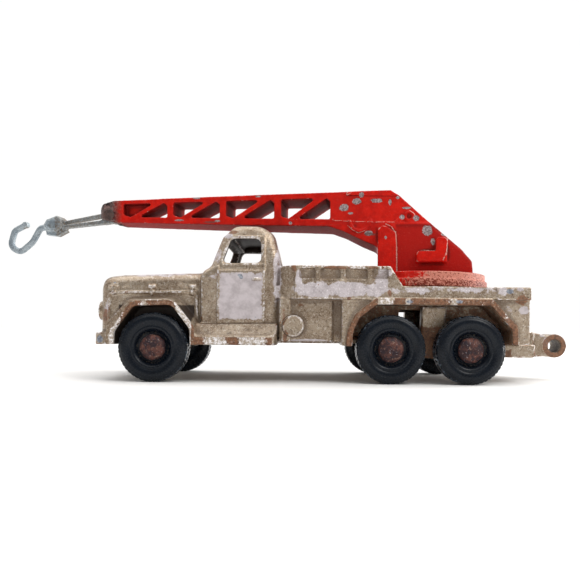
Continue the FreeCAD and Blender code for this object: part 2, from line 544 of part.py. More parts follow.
# ---- axles and wheels ----------------------------------------------------------------
for name, x in (("front", ax_f), ("middle", ax_m), ("rear", ax_r)):
    b = new_body(name + "_axle")
    # half profile of the pin in the XY plane at axle height: shank and two heads
    revolve(b, "pin", "XY_Plane", axle_z, [
        (x, -head_out), (x + 0.8, -head_out + 0.08), (x + 1.35, -head_out + 0.3), (x + head_rad, -head_out + 0.62), (x + head_rad, -(wheel_out - hub_depth + 0.05)),
        (x + axle_rad, -(wheel_out - hub_depth + 0.05)), (x + axle_rad, wheel_out - hub_depth + 0.05),
        (x + head_rad, wheel_out - hub_depth + 0.05), (x + head_rad, head_out - 0.62), (x + 1.35, head_out - 0.3), (x + 0.8, head_out - 0.08), (x, head_out)], x, 0, "y")
    for side, s in (("left", 1), ("right", -1)):
        w = new_body("%s_wheel_%s" % (name, side))
        i, o = wheel_in * s, wheel_out * s
        revolve(w, "tyre", "XY_Plane", axle_z, [
            (x + axle_rad + fit, i), (x + wheel_rad - 0.45, i), (x + wheel_rad, i + 0.45 * s), (x + wheel_rad, o - 0.45 * s), (x + wheel_rad - 0.4, o - 0.05 * s),
            (x + rim_rad + 0.3, o), (x + rim_rad, o - 0.18 * s), (x + hub_rad, o - hub_depth * s), (x + axle_rad + fit, o - hub_depth * s)], x, 0, "y")

# ---- crane: lattice jib, house and turntable disc in one casting ----------------------
jib = new_body("crane_jib", spin=True)
prism(jib, "profile", "XZ_Plane", -house_hw, house_hw, [O(
    (5.8, disc_z + disc_th - 0.2), (5.8, 19.1, 0.8), (8.35, 20.2, 2.0), (10.6, 21.35, 2.0), (12.9, 22.2, 2.0), (29.5, 22.8), (46.6, 23.5, 0.6),
    (tip_x, pin_z - 0.5, 0.9), (tip_x, 26.3, 1.0), (46.9, 26.92, 0.6), (29.5, 27.1), (4.1, 27.2, 0.6), (2.9, 26.5, 0.6), (-1.25, 22.7, 1.5), (-5.9, 18.65, 1.5),
    (-7.4, 16.9, 0.8), (-7.55, disc_z + disc_th - 0.2))])
# the jib narrows in plan towards its tip, and the nose is rounded
prism(jib, "tapers", "XY_Plane", 18.0, 30.0, [O(
    (8.0, s * house_hw), (12.0, s * (house_hw - 0.35)), (tip_x - 0.7, s * tip_hw), (tip_x, s * (tip_hw - 0.6)), (tip_x + 2.0, s * (tip_hw - 0.6)), (tip_x + 2.0, s * 8.0), (8.0, s * 8.0)) for s in (1, -1)], cut=True)
prism(jib, "disc_lower", "XY_Plane", disc_z, disc_z + disc_th * 0.5, [C(0, 0, disc_rad)])
prism(jib, "disc_upper", "XY_Plane", disc_z + disc_th * 0.5, disc_z + disc_th, [C(0, 0, disc_rad - 0.3)])
prism(jib, "peg", "XY_Plane", peg_bot, disc_z + 0.1, [C(0, 0, peg_rad)])
prism(jib, "peg_bore", "XY_Plane", peg_bot - 1.0, disc_z + disc_th + 1.0, [C(0, 0, trivet_rad)], cut=True)

# relief of the crane house, the same on both sides
hw = house_hw
prism(jib, "cab_step", "XZ_Plane", -(hw + 0.14), hw + 0.14, [O((5.75, 15.0), (5.75, 22.6), (-1.0, 22.45), (-5.7, 18.55, 1.0), (-7.2, 16.8, 0.5), (-7.4, 15.0))])
prism(jib, "corner_pads", "XZ_Plane", -(hw + 0.95), hw + 0.95, [O((3.2, 15.0), (5.78, 15.0), (5.78, 21.6, 0.6), (4.9, 22.1, 0.8), (3.2, 20.9, 0.6))])
prism(jib, "handles", "XZ_Plane", -(hw + 1.2), hw + 1.2, [O((0.35, 16.75), (0.35, 18.0), (0.1, 18.25), (-2.3, 18.3), (-2.3, 19.9), (-2.6, 20.2), (-3.55, 20.2), (-3.85, 19.9), (-3.85, 16.75))])
prism(jib, "house_lines", "XZ_Plane", -(hw + 0.24), hw + 0.24, [
    O((10.1, 22.95), (9.85, 21.95), (9.3, 21.35), (8.4, 21.15), (7.5, 21.35), (6.9, 22.0), (6.7, 22.95), (7.05, 22.95), (7.3, 22.15), (7.75, 21.7), (8.4, 21.55), (9.05, 21.75), (9.45, 22.2), (9.75, 22.95)),
    O((10.4, 26.55), (10.4, 27.08), (4.0, 27.15), (2.95, 26.4), (3.5, 26.3)),
    C(1.4, 23.4, 0.72),
    O((3.95, 21.9), (4.2, 22.2), (2.45, 23.35), (2.2, 23.05))])
both(jib, "boss_groove", "XZ_Plane", hw - 0.05, hw + 1.0, [C(1.4, 23.4, 0.45)], cut=True)

# lattice openings: two triangles in each bay, either side of its brace, which
# rises from the tip end towards the house
bays = ((12.75, 20.1), (21.15, 28.6), (29.6, 37.0), (38.0, 45.2))


def chord_low(x):
    return 23.25 + (x - 12.7) * 0.0335


holes, blind = [], None
for xa, xb in bays:
    top = 26.32
    t1 = xa + 2.1
    b0, b1 = xb - 2.45, xb - 1.15
    holes.append(O((xa, chord_low(xa), 0.18), (xa, top - 0.45, 0.18), (xa + 0.55, top, 0.18), (b0 + 0.05, chord_low(b0), 0.18)))
    blind = O((xb, chord_low(xb) + 0.35, 0.18), (xb, top, 0.18), (t1 + 0.05, top, 0.18), (b1, chord_low(b1) + 0.02, 0.18))
    if xb < 40:
        holes.append(blind)
prism(jib, "lattice", "XZ_Plane", -6.0, 6.0, holes, cut=True)
both(jib, "end_recess", "XZ_Plane", 1.15, 5.0, [blind], cut=True)

# fork slot and pin bore at the tip
prism(jib, "fork_slot", "XZ_Plane", -slot_hw, slot_hw, [O(
    (tip_x + 2.0, 21.0), (tip_x + 2.0, 29.0), (tip_x - 0.9, 29.0), (pin_x - 1.45, 26.0, 0.4), (pin_x - 1.45, 21.0))], cut=True)
prism(jib, "pin_bore", "XZ_Plane", -5.0, 5.0, [C(pin_x, pin_z, pin_rad)], cut=True)

# ---- turntable rivet and washer --------------------------------------------------------
tr = new_body("turntable_rivet", spin=True)
revolve(tr, "rivet", "XZ_Plane", 0, [
    (0, 10.45), (1.0, 10.5), (2.1, 10.75), (2.1, peg_bot - 0.25), (trivet_rad, peg_bot - 0.25), (trivet_rad, disc_z + disc_th - 0.6), (0, disc_z + disc_th - 0.6)], 0, 0, "y")
wa = new_body("pivot_washer", spin=True)
prism(wa, "ring", "XY_Plane", peg_bot - 0.25, peg_bot, [C(0, 0, 2.6), C(0, 0, trivet_rad)])

# ---- hook pin and hook -------------------------------------------------------------------
hp = new_body("hook_pin", spin=True)
revolve(hp, "pin", "XY_Plane", pin_z, [
    (pin_x, -(tip_hw + 0.32)), (pin_x + 0.75, -(tip_hw + 0.27)), (pin_x + 0.95, -(tip_hw + 0.15)), (pin_x + 0.95, -(tip_hw + 0.1)), (pin_x + pin_rad, -(tip_hw + 0.1)),
    (pin_x + pin_rad, tip_hw + 0.1), (pin_x + 0.95, tip_hw + 0.1), (pin_x + 0.95, tip_hw + 0.15), (pin_x + 0.75, tip_hw + 0.27), (pin_x, tip_hw + 0.32)], pin_x, 0, "y")

hk = new_body("hook_block", spin=True)
prism(hk, "eye", "XZ_Plane", -eye_hw, eye_hw, [C(pin_x, pin_z, eye_rad)])
prism(hk, "lower_strap", "XZ_Plane", -0.1, eye_hw, [O((pin_x - 0.1, pin_z - 1.05), (56.9, 22.85), (56.9, 23.45), (pin_x + 0.3, pin_z - 0.35))])
prism(hk, "upper_strap", "XZ_Plane", -eye_hw, 0.1, [O((pin_x + 0.3, pin_z + 0.2), (56.9, 23.65), (56.9, 24.2), (pin_x, pin_z + 1.04))])
prism(hk, "eye_web", "XZ_Plane", -eye_hw, eye_hw, [O((pin_x, pin_z - 0.9), (49.6, pin_z - 1.15), (49.6, pin_z + 0.72), (pin_x, pin_z + 0.95))])
hexa = O((59.45, 23.35), (58.9, 24.35), (57.05, 25.0), (56.4, 24.45), (56.2, 23.1), (57.05, 22.45), (58.7, 22.45))
prism(hk, "block", "XZ_Plane", -1.2, 1.2, [hexa])
both(hk, "block_recess", "XZ_Plane", 1.0, 2.0, [O((59.0, 23.4), (58.6, 24.05), (57.2, 24.5), (56.95, 24.1), (57.0, 23.3), (57.3, 22.95), (58.4, 22.9))], cut=True)
prism(hk, "block_flange", "XZ_Plane", -0.55, 0.55, [O((59.4, 23.0), (59.2, 22.0), (57.2, 21.75), (55.7, 22.5), (56.2, 23.2))])
prism(hk, "pin_hole", "XZ_Plane", -2.0, 2.0, [C(pin_x, pin_z, pin_rad + fit)], cut=True)
# the hook itself: a round bar swept along straight runs and tangent arcs
hook_path = hk.newObject("Sketcher::SketchObject", "hook_path")
attach(hook_path, hk, "XZ_Plane", 0)
route = [(58.3, 23.45), (60.55, 23.2), (61.9, 20.9), (64.0, 19.25), (65.85, 20.2), (65.1, 22.8), (63.1, 23.75)]
radii = [0, 0.9, 2.5, 1.2, 1.2, 1.1, 0]
c = [V(a, b, 0) for a, b in route]
prev_end, prev_geo = c[0], None
for i in range(1, len(c)):
    if i < len(c) - 1:
        a = (c[i - 1] - c[i]).normalize()
        b = (c[i + 1] - c[i]).normalize()
        half = a.getAngle(b) / 2
        d = radii[i] / math.tan(half)
        e_in, e_out = c[i] + a * d, c[i] + b * d
        mid = (a + b).normalize()
        centre = c[i] + mid * (radii[i] / math.sin(half))
        on_arc = centre - mid * radii[i]
    else:
        e_in = c[i]
    ln = hook_path.addGeometry(Part.LineSegment(prev_end, e_in), False)
    hook_path.addConstraint(Sketcher.Constraint("Block", ln))
    if i < len(c) - 1:
        arc = hook_path.addGeometry(Part.Arc(e_in, on_arc, e_out), False)
        hook_path.addConstraint(Sketcher.Constraint("Block", arc))
        prev_end = e_out
ring = hk.newObject("Sketcher::SketchObject", "hook_bar")
attach(ring, hk, "YZ_Plane", route[0][0])
circle(ring, 0, route[0][1], hook_bar)
doc.recompute()
bar = hk.newObject("PartDesign::AdditivePipe", "hook")
bar.Profile = ring
bar.Spine = (hook_path, [])
doc.recompute()
# rounded end of the hook
prism(hk, "hook_end", "XZ_Plane", -hook_bar * 0.9, hook_bar * 0.9, [C(route[-1][0], route[-1][1], hook_bar * 0.98)])

# ---- finish ----------------------------------------------------------------------------------
doc.recompute()
bad = []
for o in doc.Objects:
    if "Invalid" in o.State or "Error" in o.State:
        bad.append("%s %s" % (o.Name, o.State))
bodies = [o for o in doc.Objects if o.TypeId == "PartDesign::Body"]
for b in bodies:
    s = b.Shape
    if s.isNull() or not s.isValid() or len(s.Solids) != 1:
        bad.append("%s null=%s solids=%d valid=%s" % (b.Label, s.isNull(), len(s.Solids) if not s.isNull() else 0, (not s.isNull()) and s.isValid()))
if bad:
    raise SystemExit("not sound: " + "; ".join(bad))
box = FreeCAD.BoundBox()
for b in bodies:
    bb = b.Shape.BoundBox
    box.add(bb)
    print("%-22s vol %8.2f  X %7.2f..%7.2f  Y %7.2f..%7.2f  Z %6.2f..%6.2f" % (b.Label, b.Shape.Volume, bb.XMin, bb.XMax, bb.YMin, bb.YMax, bb.ZMin, bb.ZMax))
print("whole toy: X %.3f..%.3f  Y %.3f..%.3f  Z %.3f..%.3f" % (box.XMin, box.XMax, box.YMin, box.YMax, box.ZMin, box.ZMax))
for b in bodies:
    b.Shape.exportStep("parts/%s.step" % b.Label)
print("%d nodes written" % len(bodies))
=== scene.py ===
import json
import math

import bpy
import numpy as np
from mathutils import Matrix, Vector, kdtree, noise


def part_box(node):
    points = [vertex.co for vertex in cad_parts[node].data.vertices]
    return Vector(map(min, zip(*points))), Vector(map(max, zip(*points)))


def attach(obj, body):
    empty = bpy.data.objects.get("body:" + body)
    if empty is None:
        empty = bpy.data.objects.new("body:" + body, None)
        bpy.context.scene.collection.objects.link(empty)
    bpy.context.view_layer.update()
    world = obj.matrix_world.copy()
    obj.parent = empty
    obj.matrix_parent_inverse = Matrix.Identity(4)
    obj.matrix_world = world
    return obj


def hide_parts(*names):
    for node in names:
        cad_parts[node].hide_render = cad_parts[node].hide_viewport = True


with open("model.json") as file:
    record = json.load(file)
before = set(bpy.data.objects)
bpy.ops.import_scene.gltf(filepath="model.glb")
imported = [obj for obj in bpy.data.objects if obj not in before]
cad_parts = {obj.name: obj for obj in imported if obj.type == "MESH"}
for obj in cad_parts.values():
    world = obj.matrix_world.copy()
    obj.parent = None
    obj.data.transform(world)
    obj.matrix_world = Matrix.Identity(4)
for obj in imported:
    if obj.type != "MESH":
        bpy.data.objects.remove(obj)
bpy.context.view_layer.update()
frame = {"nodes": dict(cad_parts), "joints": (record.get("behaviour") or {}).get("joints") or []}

MM = 0.001
scene = bpy.context.scene
depsgraph = bpy.context.evaluated_depsgraph_get

# ---------------------------------------------------------------- frame places
joints = {j["name"]: j for j in frame["joints"]}
TURN = Vector(joints["crane_slew"]["pos_m"])          # turntable axis
PIN = Vector(joints["hook_swing"]["pos_m"])           # hook pin
PIN_AXIS = Vector(joints["hook_swing"]["axis"]).normalized()
BOOM = Vector((PIN_AXIS.y, -PIN_AXIS.x, 0.0))         # level direction along the jib
BODY_LO, BODY_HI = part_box("truck_body")
SHIFT = BODY_HI.x - 25.4 * MM                         # front bumper is 25.4 mm ahead of the truck's own datum


def local_crane(co):
    """mm along the jib, mm to its left, mm up, for an array of points."""
    rel = co - np.array([TURN.x, TURN.y, 0.0])
    u = rel @ np.array(BOOM)
    v = rel @ np.array(PIN_AXIS)
    return np.stack([u, v, co[:, 2]], 1) / MM


def local_truck(co):
    return (co - np.array([SHIFT, 0.0, 0.0])) / MM


# ---------------------------------------------------------------- mesh helpers
def get_co(mesh):
    co = np.empty(len(mesh.vertices) * 3, np.float32)
    mesh.vertices.foreach_get("co", co)
    return co.reshape(-1, 3).astype(np.float64)


def set_co(mesh, co):
    mesh.vertices.foreach_set("co", co.astype(np.float32).ravel())
    mesh.update()


def get_normals(mesh):
    n = np.empty(len(mesh.vertices) * 3, np.float32)
    mesh.vertex_normals.foreach_get("vector", n)
    return n.reshape(-1, 3).astype(np.float64)


def get_edges(mesh):
    e = np.empty(len(mesh.edges) * 2, np.int32)
    mesh.edges.foreach_get("vertices", e)
    return e.reshape(-1, 2)


class Graph:
    """Neighbour sums over a mesh's edges."""

    def __init__(self, mesh):
        e = get_edges(mesh)
        self.a, self.b = e[:, 0], e[:, 1]
        self.n = len(mesh.vertices)
        self.deg = np.maximum(np.bincount(self.a, minlength=self.n) + np.bincount(self.b, minlength=self.n), 1).astype(float)

    def mean(self, f):
        if f.ndim == 1:
            s = np.bincount(self.a, f[self.b], self.n) + np.bincount(self.b, f[self.a], self.n)
            return s / self.deg
        return np.stack([self.mean(f[:, k]) for k in range(f.shape[1])], 1)

    def blur(self, f, times):
        for _ in range(times):
            f = 0.35 * f + 0.65 * self.mean(f)
        return f


def fractal(co, scale, octaves=3, seed=0.0):
    """Smooth noise in -1..1 at each point; scale is in features per millimetre."""
    k = scale / MM
    off = Vector((seed * 13.7, seed * 7.3, seed * 3.1))
    return np.array([noise.fractal(Vector(p) * k + off, 0.9, 2.0, octaves, noise_basis="PERLIN_ORIGINAL") for p in co])


def put(mesh, name, values):
    a = mesh.attributes.get(name) or mesh.attributes.new(name, "FLOAT", "POINT")
    a.data.foreach_set("value", np.clip(values, 0.0, 1.0).astype(np.float32))


def along(p, line):
    """Distance in the XZ plane from each point to a polyline, in mm."""
    best = np.full(len(p), 1e9)
    for (x0, z0), (x1, z1) in zip(line[:-1], line[1:]):
        dx, dz = x1 - x0, z1 - z0
        t = np.clip(((p[:, 0] - x0) * dx + (p[:, 2] - z0) * dz) / max(dx * dx + dz * dz, 1e-9), 0, 1)
        best = np.minimum(best, np.hypot(p[:, 0] - x0 - t * dx, p[:, 2] - z0 - t * dz))
    return best


def ring_line(x, z, r, k=24):
    return [(x + r * math.cos(2 * math.pi * i / k), z + r * math.sin(2 * math.pi * i / k)) for i in range(k + 1)]


def blobs(p, items):
    """Soft-edged ellipses (x, z, half width, half height, strength) seen from the side; 0.5 of the strength on the rim."""
    out = np.zeros(len(p))
    for x, z, rx, rz, a in items:
        d = np.hypot((p[:, 0] - x) / rx, (p[:, 2] - z) / rz)
        out = np.maximum(out, a * np.clip(1.5 - d, 0, 1))
    return out


def smooth_shade(mesh):
    mesh.polygons.foreach_set("use_smooth", np.ones(len(mesh.polygons), bool))
    mesh.update()


def cast_piece(node, name, voxel, body, relax=2, relief=0.012, budget=180000, zones=None, replaced=None, emboss=None, melt=None):
    """A casting as it leaves the mould and the paint bath: every edge eased, the
    skin slightly uneven, with its exposed and its sheltered places marked."""
    src = frame["nodes"][node]
    tmp = bpy.data.objects.new(name + ".tmp", src.data.copy())
    scene.collection.objects.link(tmp)
    rm = tmp.modifiers.new("remesh", "REMESH")
    rm.mode = "VOXEL"
    rm.voxel_size = voxel * MM
    bpy.context.view_layer.update()
    mesh = bpy.data.meshes.new_from_object(tmp.evaluated_get(depsgraph()))
    bpy.data.objects.remove(tmp)
    g = Graph(mesh)
    co = get_co(mesh)
    for _ in range(relax):                                   # eases edges without shrinking flats
        co = co + 0.5 * (g.mean(co) - co)
        co = co - 0.46 * (g.mean(co) - co)
    co = co + 0.35 * (g.mean(co) - co)
    if melt:
        w = melt(co)[:, None]
        for _ in range(70):
            co = co + 0.6 * w * (g.mean(co) - co)
    set_co(mesh, co)
    n = get_normals(mesh)
    if emboss:
        co = co + n * (emboss(co, n) * MM)[:, None]
        set_co(mesh, co)
        n = get_normals(mesh)
    raw = -((g.mean(co) - co) * n).sum(1) / (voxel * MM)
    fine = g.blur(raw, 2)
    mid = g.blur(raw, 8)
    wide = g.blur(raw, 40)
    edge = np.clip(fine * 5.0, 0, 1) * 0.55 + np.clip(mid * 11.0, 0, 1) * 0.6
    cave = np.clip(-mid * 12.0, 0, 1) * 0.6 + np.clip(-wide * 40.0, 0, 1) * 0.6
    cave = g.blur(cave, 3)
    fields = {"edge": edge, "cave": cave}
    if zones:
        fields.update(zones(co, n))
    ob = bpy.data.objects.new(name, mesh)
    scene.collection.objects.link(ob)
    tris = sum(len(p.vertices) - 2 for p in mesh.polygons)
    if tris > budget:
        keep = ob.vertex_groups.new(name="thin_here")
        busy = np.zeros(len(co), bool)
        for f in fields.values():
            busy |= np.abs(g.mean(f) - f) > 0.045
        if melt:
            busy |= melt(co) > 0.02
        calm = np.nonzero(g.mean(busy.astype(float)) < 0.2)[0]
        keep.add([int(v) for v in calm], 1.0, "REPLACE")
        dec = ob.modifiers.new("thin", "DECIMATE")
        dec.ratio = budget / tris
        dec.vertex_group = "thin_here"
        dec.vertex_group_factor = 0.6
        bpy.context.view_layer.update()
        thin = bpy.data.meshes.new_from_object(ob.evaluated_get(depsgraph()))
        ob.modifiers.remove(dec)
        ob.vertex_groups.clear()
        tree = kdtree.KDTree(len(co))
        for i, p in enumerate(co):
            tree.insert(p, i)
        tree.balance()
        tc = get_co(thin)
        near = np.array([tree.find(p)[1] for p in tc])
        fields = {k: f[near] for k, f in fields.items()}
        ob.data = thin
        bpy.data.meshes.remove(mesh)
        mesh = thin
        co = tc
    if relief:
        n = get_normals(mesh)
        bump = fractal(co, 1.3, 3, 1.0) * 0.7 + fractal(co, 0.35, 2, 2.0) * 0.4
        hull = get_co(src.data)                              # the uneven skin stays inside the solid's own box
        set_co(mesh, np.clip(co + n * (bump * relief * MM)[:, None], hull.min(0), hull.max(0)))
    for k, f in fields.items():
        put(mesh, k, f)
    smooth_shade(mesh)
    mesh.name = name
    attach(ob, body)
    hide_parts(*(replaced or [node]))
    return ob


def turned(name, outline, cx, cz, segs, body, nodes, radial=None, sag=None):
    """A piece turned about a lateral axis.  outline is (radius, y) in mm, closed."""
    m = len(outline)
    pts = np.array(outline, float)
    ang = np.arange(segs) / segs * 2 * math.pi
    R = np.repeat(pts[None, :, 0], segs, 0)
    Y = np.repeat(pts[None, :, 1], segs, 0)
    A = np.repeat(ang[:, None], m, 1)
    if radial is not None:
        R = R + radial(R, Y, A)
    co = np.stack([cx / MM + R * np.cos(A), Y, cz / MM + R * np.sin(A)], 2).reshape(-1, 3) * MM
    if sag is not None:
        co = sag(co)
    faces = []
    for s in range(segs):
        t = (s + 1) % segs
        for k in range(m):
            l = (k + 1) % m
            faces.append((s * m + k, s * m + l, t * m + l, t * m + k))
    mesh = bpy.data.meshes.new(name)
    mesh.from_pydata([tuple(p) for p in co], [], faces)
    mesh.update()
    bm_fix(mesh)
    smooth_shade(mesh)
    ob = bpy.data.objects.new(name, mesh)
    scene.collection.objects.link(ob)
    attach(ob, body)
    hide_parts(*nodes)
    return ob


def bm_fix(mesh):
    import bmesh
    bm = bmesh.new()
    bm.from_mesh(mesh)
    bmesh.ops.remove_doubles(bm, verts=bm.verts, dist=1e-7)
    bmesh.ops.recalc_face_normals(bm, faces=bm.faces)
    bm.to_mesh(mesh)
    bm.free()
    mesh.update()


# ---------------------------------------------------------------- node graphs
class Net:
    def __init__(self, name):
        self.m = bpy.data.materials.new(name)
        self.m.use_nodes = True
        self.t = self.m.node_tree
        self.t.nodes.clear()
        out = self.t.nodes.new("ShaderNodeOutputMaterial")
        self.b = self.t.nodes.new("ShaderNodeBsdfPrincipled")
        self.t.links.new(self.b.outputs[0], out.inputs[0])
        tc = self.t.nodes.new("ShaderNodeTexCoord")
        mp = self.t.nodes.new("ShaderNodeMapping")
        mp.inputs["Scale"].default_value = (1000, 1000, 1000)
        self.t.links.new(tc.outputs["Object"], mp.inputs["Vector"])
        self.p = mp.outputs[0]

    def link(self, v, sock):
        if isinstance(v, (int, float)):
            sock.default_value = v
        elif isinstance(v, (tuple, list)):
            sock.default_value = tuple(v) + ((1.0,) if len(v) == 3 and len(sock.default_value) == 4 else ())
        else:
            self.t.links.new(v, sock)

    def moved(self, offset, scale=(1, 1, 1)):
        mp = self.t.nodes.new("ShaderNodeMapping")
        mp.inputs["Location"].default_value = offset
        mp.inputs["Scale"].default_value = scale
        self.t.links.new(self.p, mp.inputs["Vector"])
        return mp.outputs[0]

    def noise(self, scale, detail=3.0, rough=0.55, vec=None, warp=0.0):
        n = self.t.nodes.new("ShaderNodeTexNoise")
        n.inputs["Scale"].default_value = scale
        n.inputs["Detail"].default_value = detail
        n.inputs["Roughness"].default_value = rough
        n.inputs["Distortion"].default_value = warp
        self.t.links.new(vec or self.p, n.inputs["Vector"])
        return n.outputs["Fac"]

    def cells(self, scale, vec=None, feature="F1", rand=1.0):
        n = self.t.nodes.new("ShaderNodeTexVoronoi")
        n.feature = feature
        n.inputs["Scale"].default_value = scale
        n.inputs["Randomness"].default_value = rand
        self.t.links.new(vec or self.p, n.inputs["Vector"])
        return n.outputs["Distance"]

    def math(self, op, a, b=0.0, clamp=False):
        n = self.t.nodes.new("ShaderNodeMath")
        n.operation = op
        n.use_clamp = clamp
        self.link(a, n.inputs[0])
        self.link(b, n.inputs[1])
        return n.outputs[0]

    def add(self, *xs):
        r = xs[0]
        for x in xs[1:]:
            r = self.math("ADD", r, x)
        return r

    def mul(self, *xs):
        r = xs[0]
        for x in xs[1:]:
            r = self.math("MULTIPLY", r, x)
        return r

    def step(self, x, lo, hi, a=0.0, b=1.0):
        n = self.t.nodes.new("ShaderNodeMapRange")
        n.interpolation_type = "SMOOTHSTEP"
        self.link(x, n.inputs[0])
        for i, v in enumerate((lo, hi, a, b)):
            n.inputs[i + 1].default_value = v
        return n.outputs[0]

    def mix(self, fac, a, b, mode="MIX"):
        n = self.t.nodes.new("ShaderNodeMix")
        n.data_type = "RGBA"
        n.blend_type = mode
        self.link(fac, n.inputs[0])
        self.link(a, n.inputs[6])
        self.link(b, n.inputs[7])
        return n.outputs[2]

    def attr(self, name):
        n = self.t.nodes.new("ShaderNodeAttribute")
        n.attribute_name = name
        return n.outputs["Fac"]

    def bump(self, height, strength=0.3, dist=0.02, under=None):
        n = self.t.nodes.new("ShaderNodeBump")
        n.inputs["Strength"].default_value = strength
        n.inputs["Distance"].default_value = dist * MM
        self.t.links.new(height, n.inputs["Height"])
        if under is not None:
            self.t.links.new(under, n.inputs["Normal"])
        return n.outputs[0]

    def done(self, color, rough, metal=0.0, normal=None, spec=0.5, coat=0.0, coat_rough=0.1):
        self.link(color, self.b.inputs["Base Color"])
        self.link(rough, self.b.inputs["Roughness"])
        self.link(metal, self.b.inputs["Metallic"])
        self.b.inputs["Specular IOR Level"].default_value = spec
        self.b.inputs["Coat Weight"].default_value = coat
        self.b.inputs["Coat Roughness"].default_value = coat_rough
        if normal is not None:
            self.t.links.new(normal, self.b.inputs["Normal"])
        return self.m


def truck_paint(name="truck_paint_worn"):
    s = Net(name)
    edge, cave, pale, rust, soot, lip, mark = (s.attr(k) for k in ("edge", "cave", "pale", "rust", "soot", "lip", "mark"))
    mid = s.noise(0.9, 4, 0.6, s.moved((31, 7, 5)))
    small = s.noise(3.2, 4, 0.65, s.moved((3, 17, 9)))
    grain = s.noise(7.5, 3, 0.7)
    dm, ds, dg = (s.math("SUBTRACT", x, 0.5) for x in (mid, small, grain))
    # tan-silver paint: warm where thin, with bright flakes that are painted glints, and brown freckles
    tan = s.mix(s.step(s.noise(0.30, 3, 0.6), 0.36, 0.64), C_TAN_A, C_TAN_B)
    tan = s.mix(s.mul(s.step(s.add(grain, s.mul(ds, 0.35)), 0.50, 0.72), 0.75), tan, C_FLAKE_GLINT)
    tan = s.mix(s.mul(s.step(s.noise(2.3, 5, 0.8, s.moved((19, 11, 2))), 0.52, 0.64), 0.55), tan, C_FLAKE_GLINT)
    tan = s.mix(s.mul(s.step(s.noise(3.0, 5, 0.8, s.moved((9, 1, 40))), 0.54, 0.63), 0.78), tan, C_FRECKLE)
    # places rubbed to a pale lilac undercoat, speckled with bright cast grain; the bright specks are painted glints,
    # and the same pale mask carries painted highlights on the cab's rear corner and bonnet top and a painted sheen on
    # the door
    rub = s.step(s.add(pale, s.mul(dm, 0.9), s.mul(ds, 0.5)), 0.44, 0.60)
    spark = s.step(s.noise(4.2, 4, 0.75, s.moved((2, 4, 6))), 0.56, 0.64)
    under = s.mix(s.step(s.add(mid, s.mul(ds, 0.25)), 0.30, 0.66), C_PALE_A, C_PALE_B)
    under = s.mix(s.mul(spark, s.attr("spark")), under, C_WHITE)
    under = s.mix(s.mul(s.step(grain, 0.42, 0.30), s.attr("spark")), under, C_PIT)
    tan = s.mix(rub, tan, under)
    # grime that stays in the corners, with painted shade darkening the hollows
    grime_and_shade = s.step(s.add(cave, s.mul(ds, 0.7)), 0.30, 0.80)
    tan = s.mix(s.mul(grime_and_shade, 0.62), tan, s.mix(mid, C_GRIME_SHADE_A, C_GRIME_SHADE_B))
    # painted shade: wheel wells, cab interior, the cavity under the body and the tow-eye bore darkened; also darker on
    # the sill's upward faces and at the tail end
    tan = s.mix(s.step(s.add(soot, s.mul(dm, 0.5)), 0.45, 0.75), tan, s.mix(small, C_SOOT_SHADE_A, C_SOOT_SHADE_B))
    # exposed edges: white primer in one place, rust in the next
    worn = s.step(s.add(s.mul(edge, 0.95), s.mul(ds, 1.5), s.mul(dm, 1.2)), 0.52, 0.66)
    which = s.step(s.add(s.noise(0.60, 3, 0.6, s.moved((50, 3, 8))), s.mul(rust, 0.4)), 0.55, 0.62)
    white = s.mix(s.step(s.noise(2.6, 5, 0.8, s.moved((6, 31, 3))), 0.42, 0.60), C_TAN_B, C_WHITE)
    brown = s.mix(s.step(small, 0.32, 0.66), C_RUST_A, C_RUST_B)
    col = s.mix(s.mul(worn, 0.9), tan, s.mix(which, white, brown))
    # the rubbed lips of the arches and running boards
    lipm = s.step(s.add(lip, s.mul(ds, 0.5)), 0.42, 0.52)
    lipw = s.step(s.add(s.attr("lipwhite"), s.mul(dm, 1.2), s.mul(ds, 1.3)), 0.44, 0.54)
    lipc = s.mix(lipw, brown, white)
    lipc = s.mix(s.mul(s.step(s.noise(4.2, 4, 0.7, s.moved((12, 8, 3))), 0.56, 0.64), 0.8), lipc, C_TAN_B)
    lipc = s.mix(s.step(s.noise(3.1, 4, 0.75, s.moved((22, 5, 3))), 0.62, 0.66), lipc, C_PIT)
    col = s.mix(lipm, col, lipc)
    # rusty flats
    flat = s.step(s.add(rust, s.mul(ds, 0.9), s.mul(dm, 0.7)), 0.46, 0.58)
    col = s.mix(s.mul(flat, 0.92), col, brown)
    # light lines along the raised beads, partly rubbed paint and partly a painted highlight, dark ones beside them
    col = s.mix(s.mul(s.step(s.add(mark, s.mul(ds, 1.3)), 0.62, 0.90), 0.65), col, C_WHITE)
    col = s.mix(s.mul(s.step(s.add(s.attr("line"), s.mul(ds, 0.6)), 0.35, 0.75), 0.75), col, C_GRIME_SHADE_A)
    # blue-grey chips down to the zinc
    zinc = s.step(s.add(s.attr("chip"), s.mul(ds, 0.9)), 0.48, 0.56)
    col = s.mix(zinc, col, s.mix(s.step(small, 0.35, 0.65), (0.12, 0.13, 0.17), (0.36, 0.38, 0.42)))
    loss = s.math("MAXIMUM", s.math("MAXIMUM", grime_and_shade, s.mul(lipm, 0.8)), s.math("MAXIMUM", flat, s.math("MAXIMUM", rub, soot)))
    rough = s.add(0.22, s.mul(grain, 0.20), s.mul(loss, 0.28))
    h = s.add(s.mul(grain, 0.55), s.mul(small, 0.9), s.mul(worn, -0.7), s.mul(lipm, -0.5), s.mul(flat, -0.4), s.mul(zinc, -0.8))
    metal = s.mul(s.math("SUBTRACT", 1.0, loss), 0.72)
    return s.done(col, rough, metal, s.bump(h, 0.75, 0.055), 0.4)


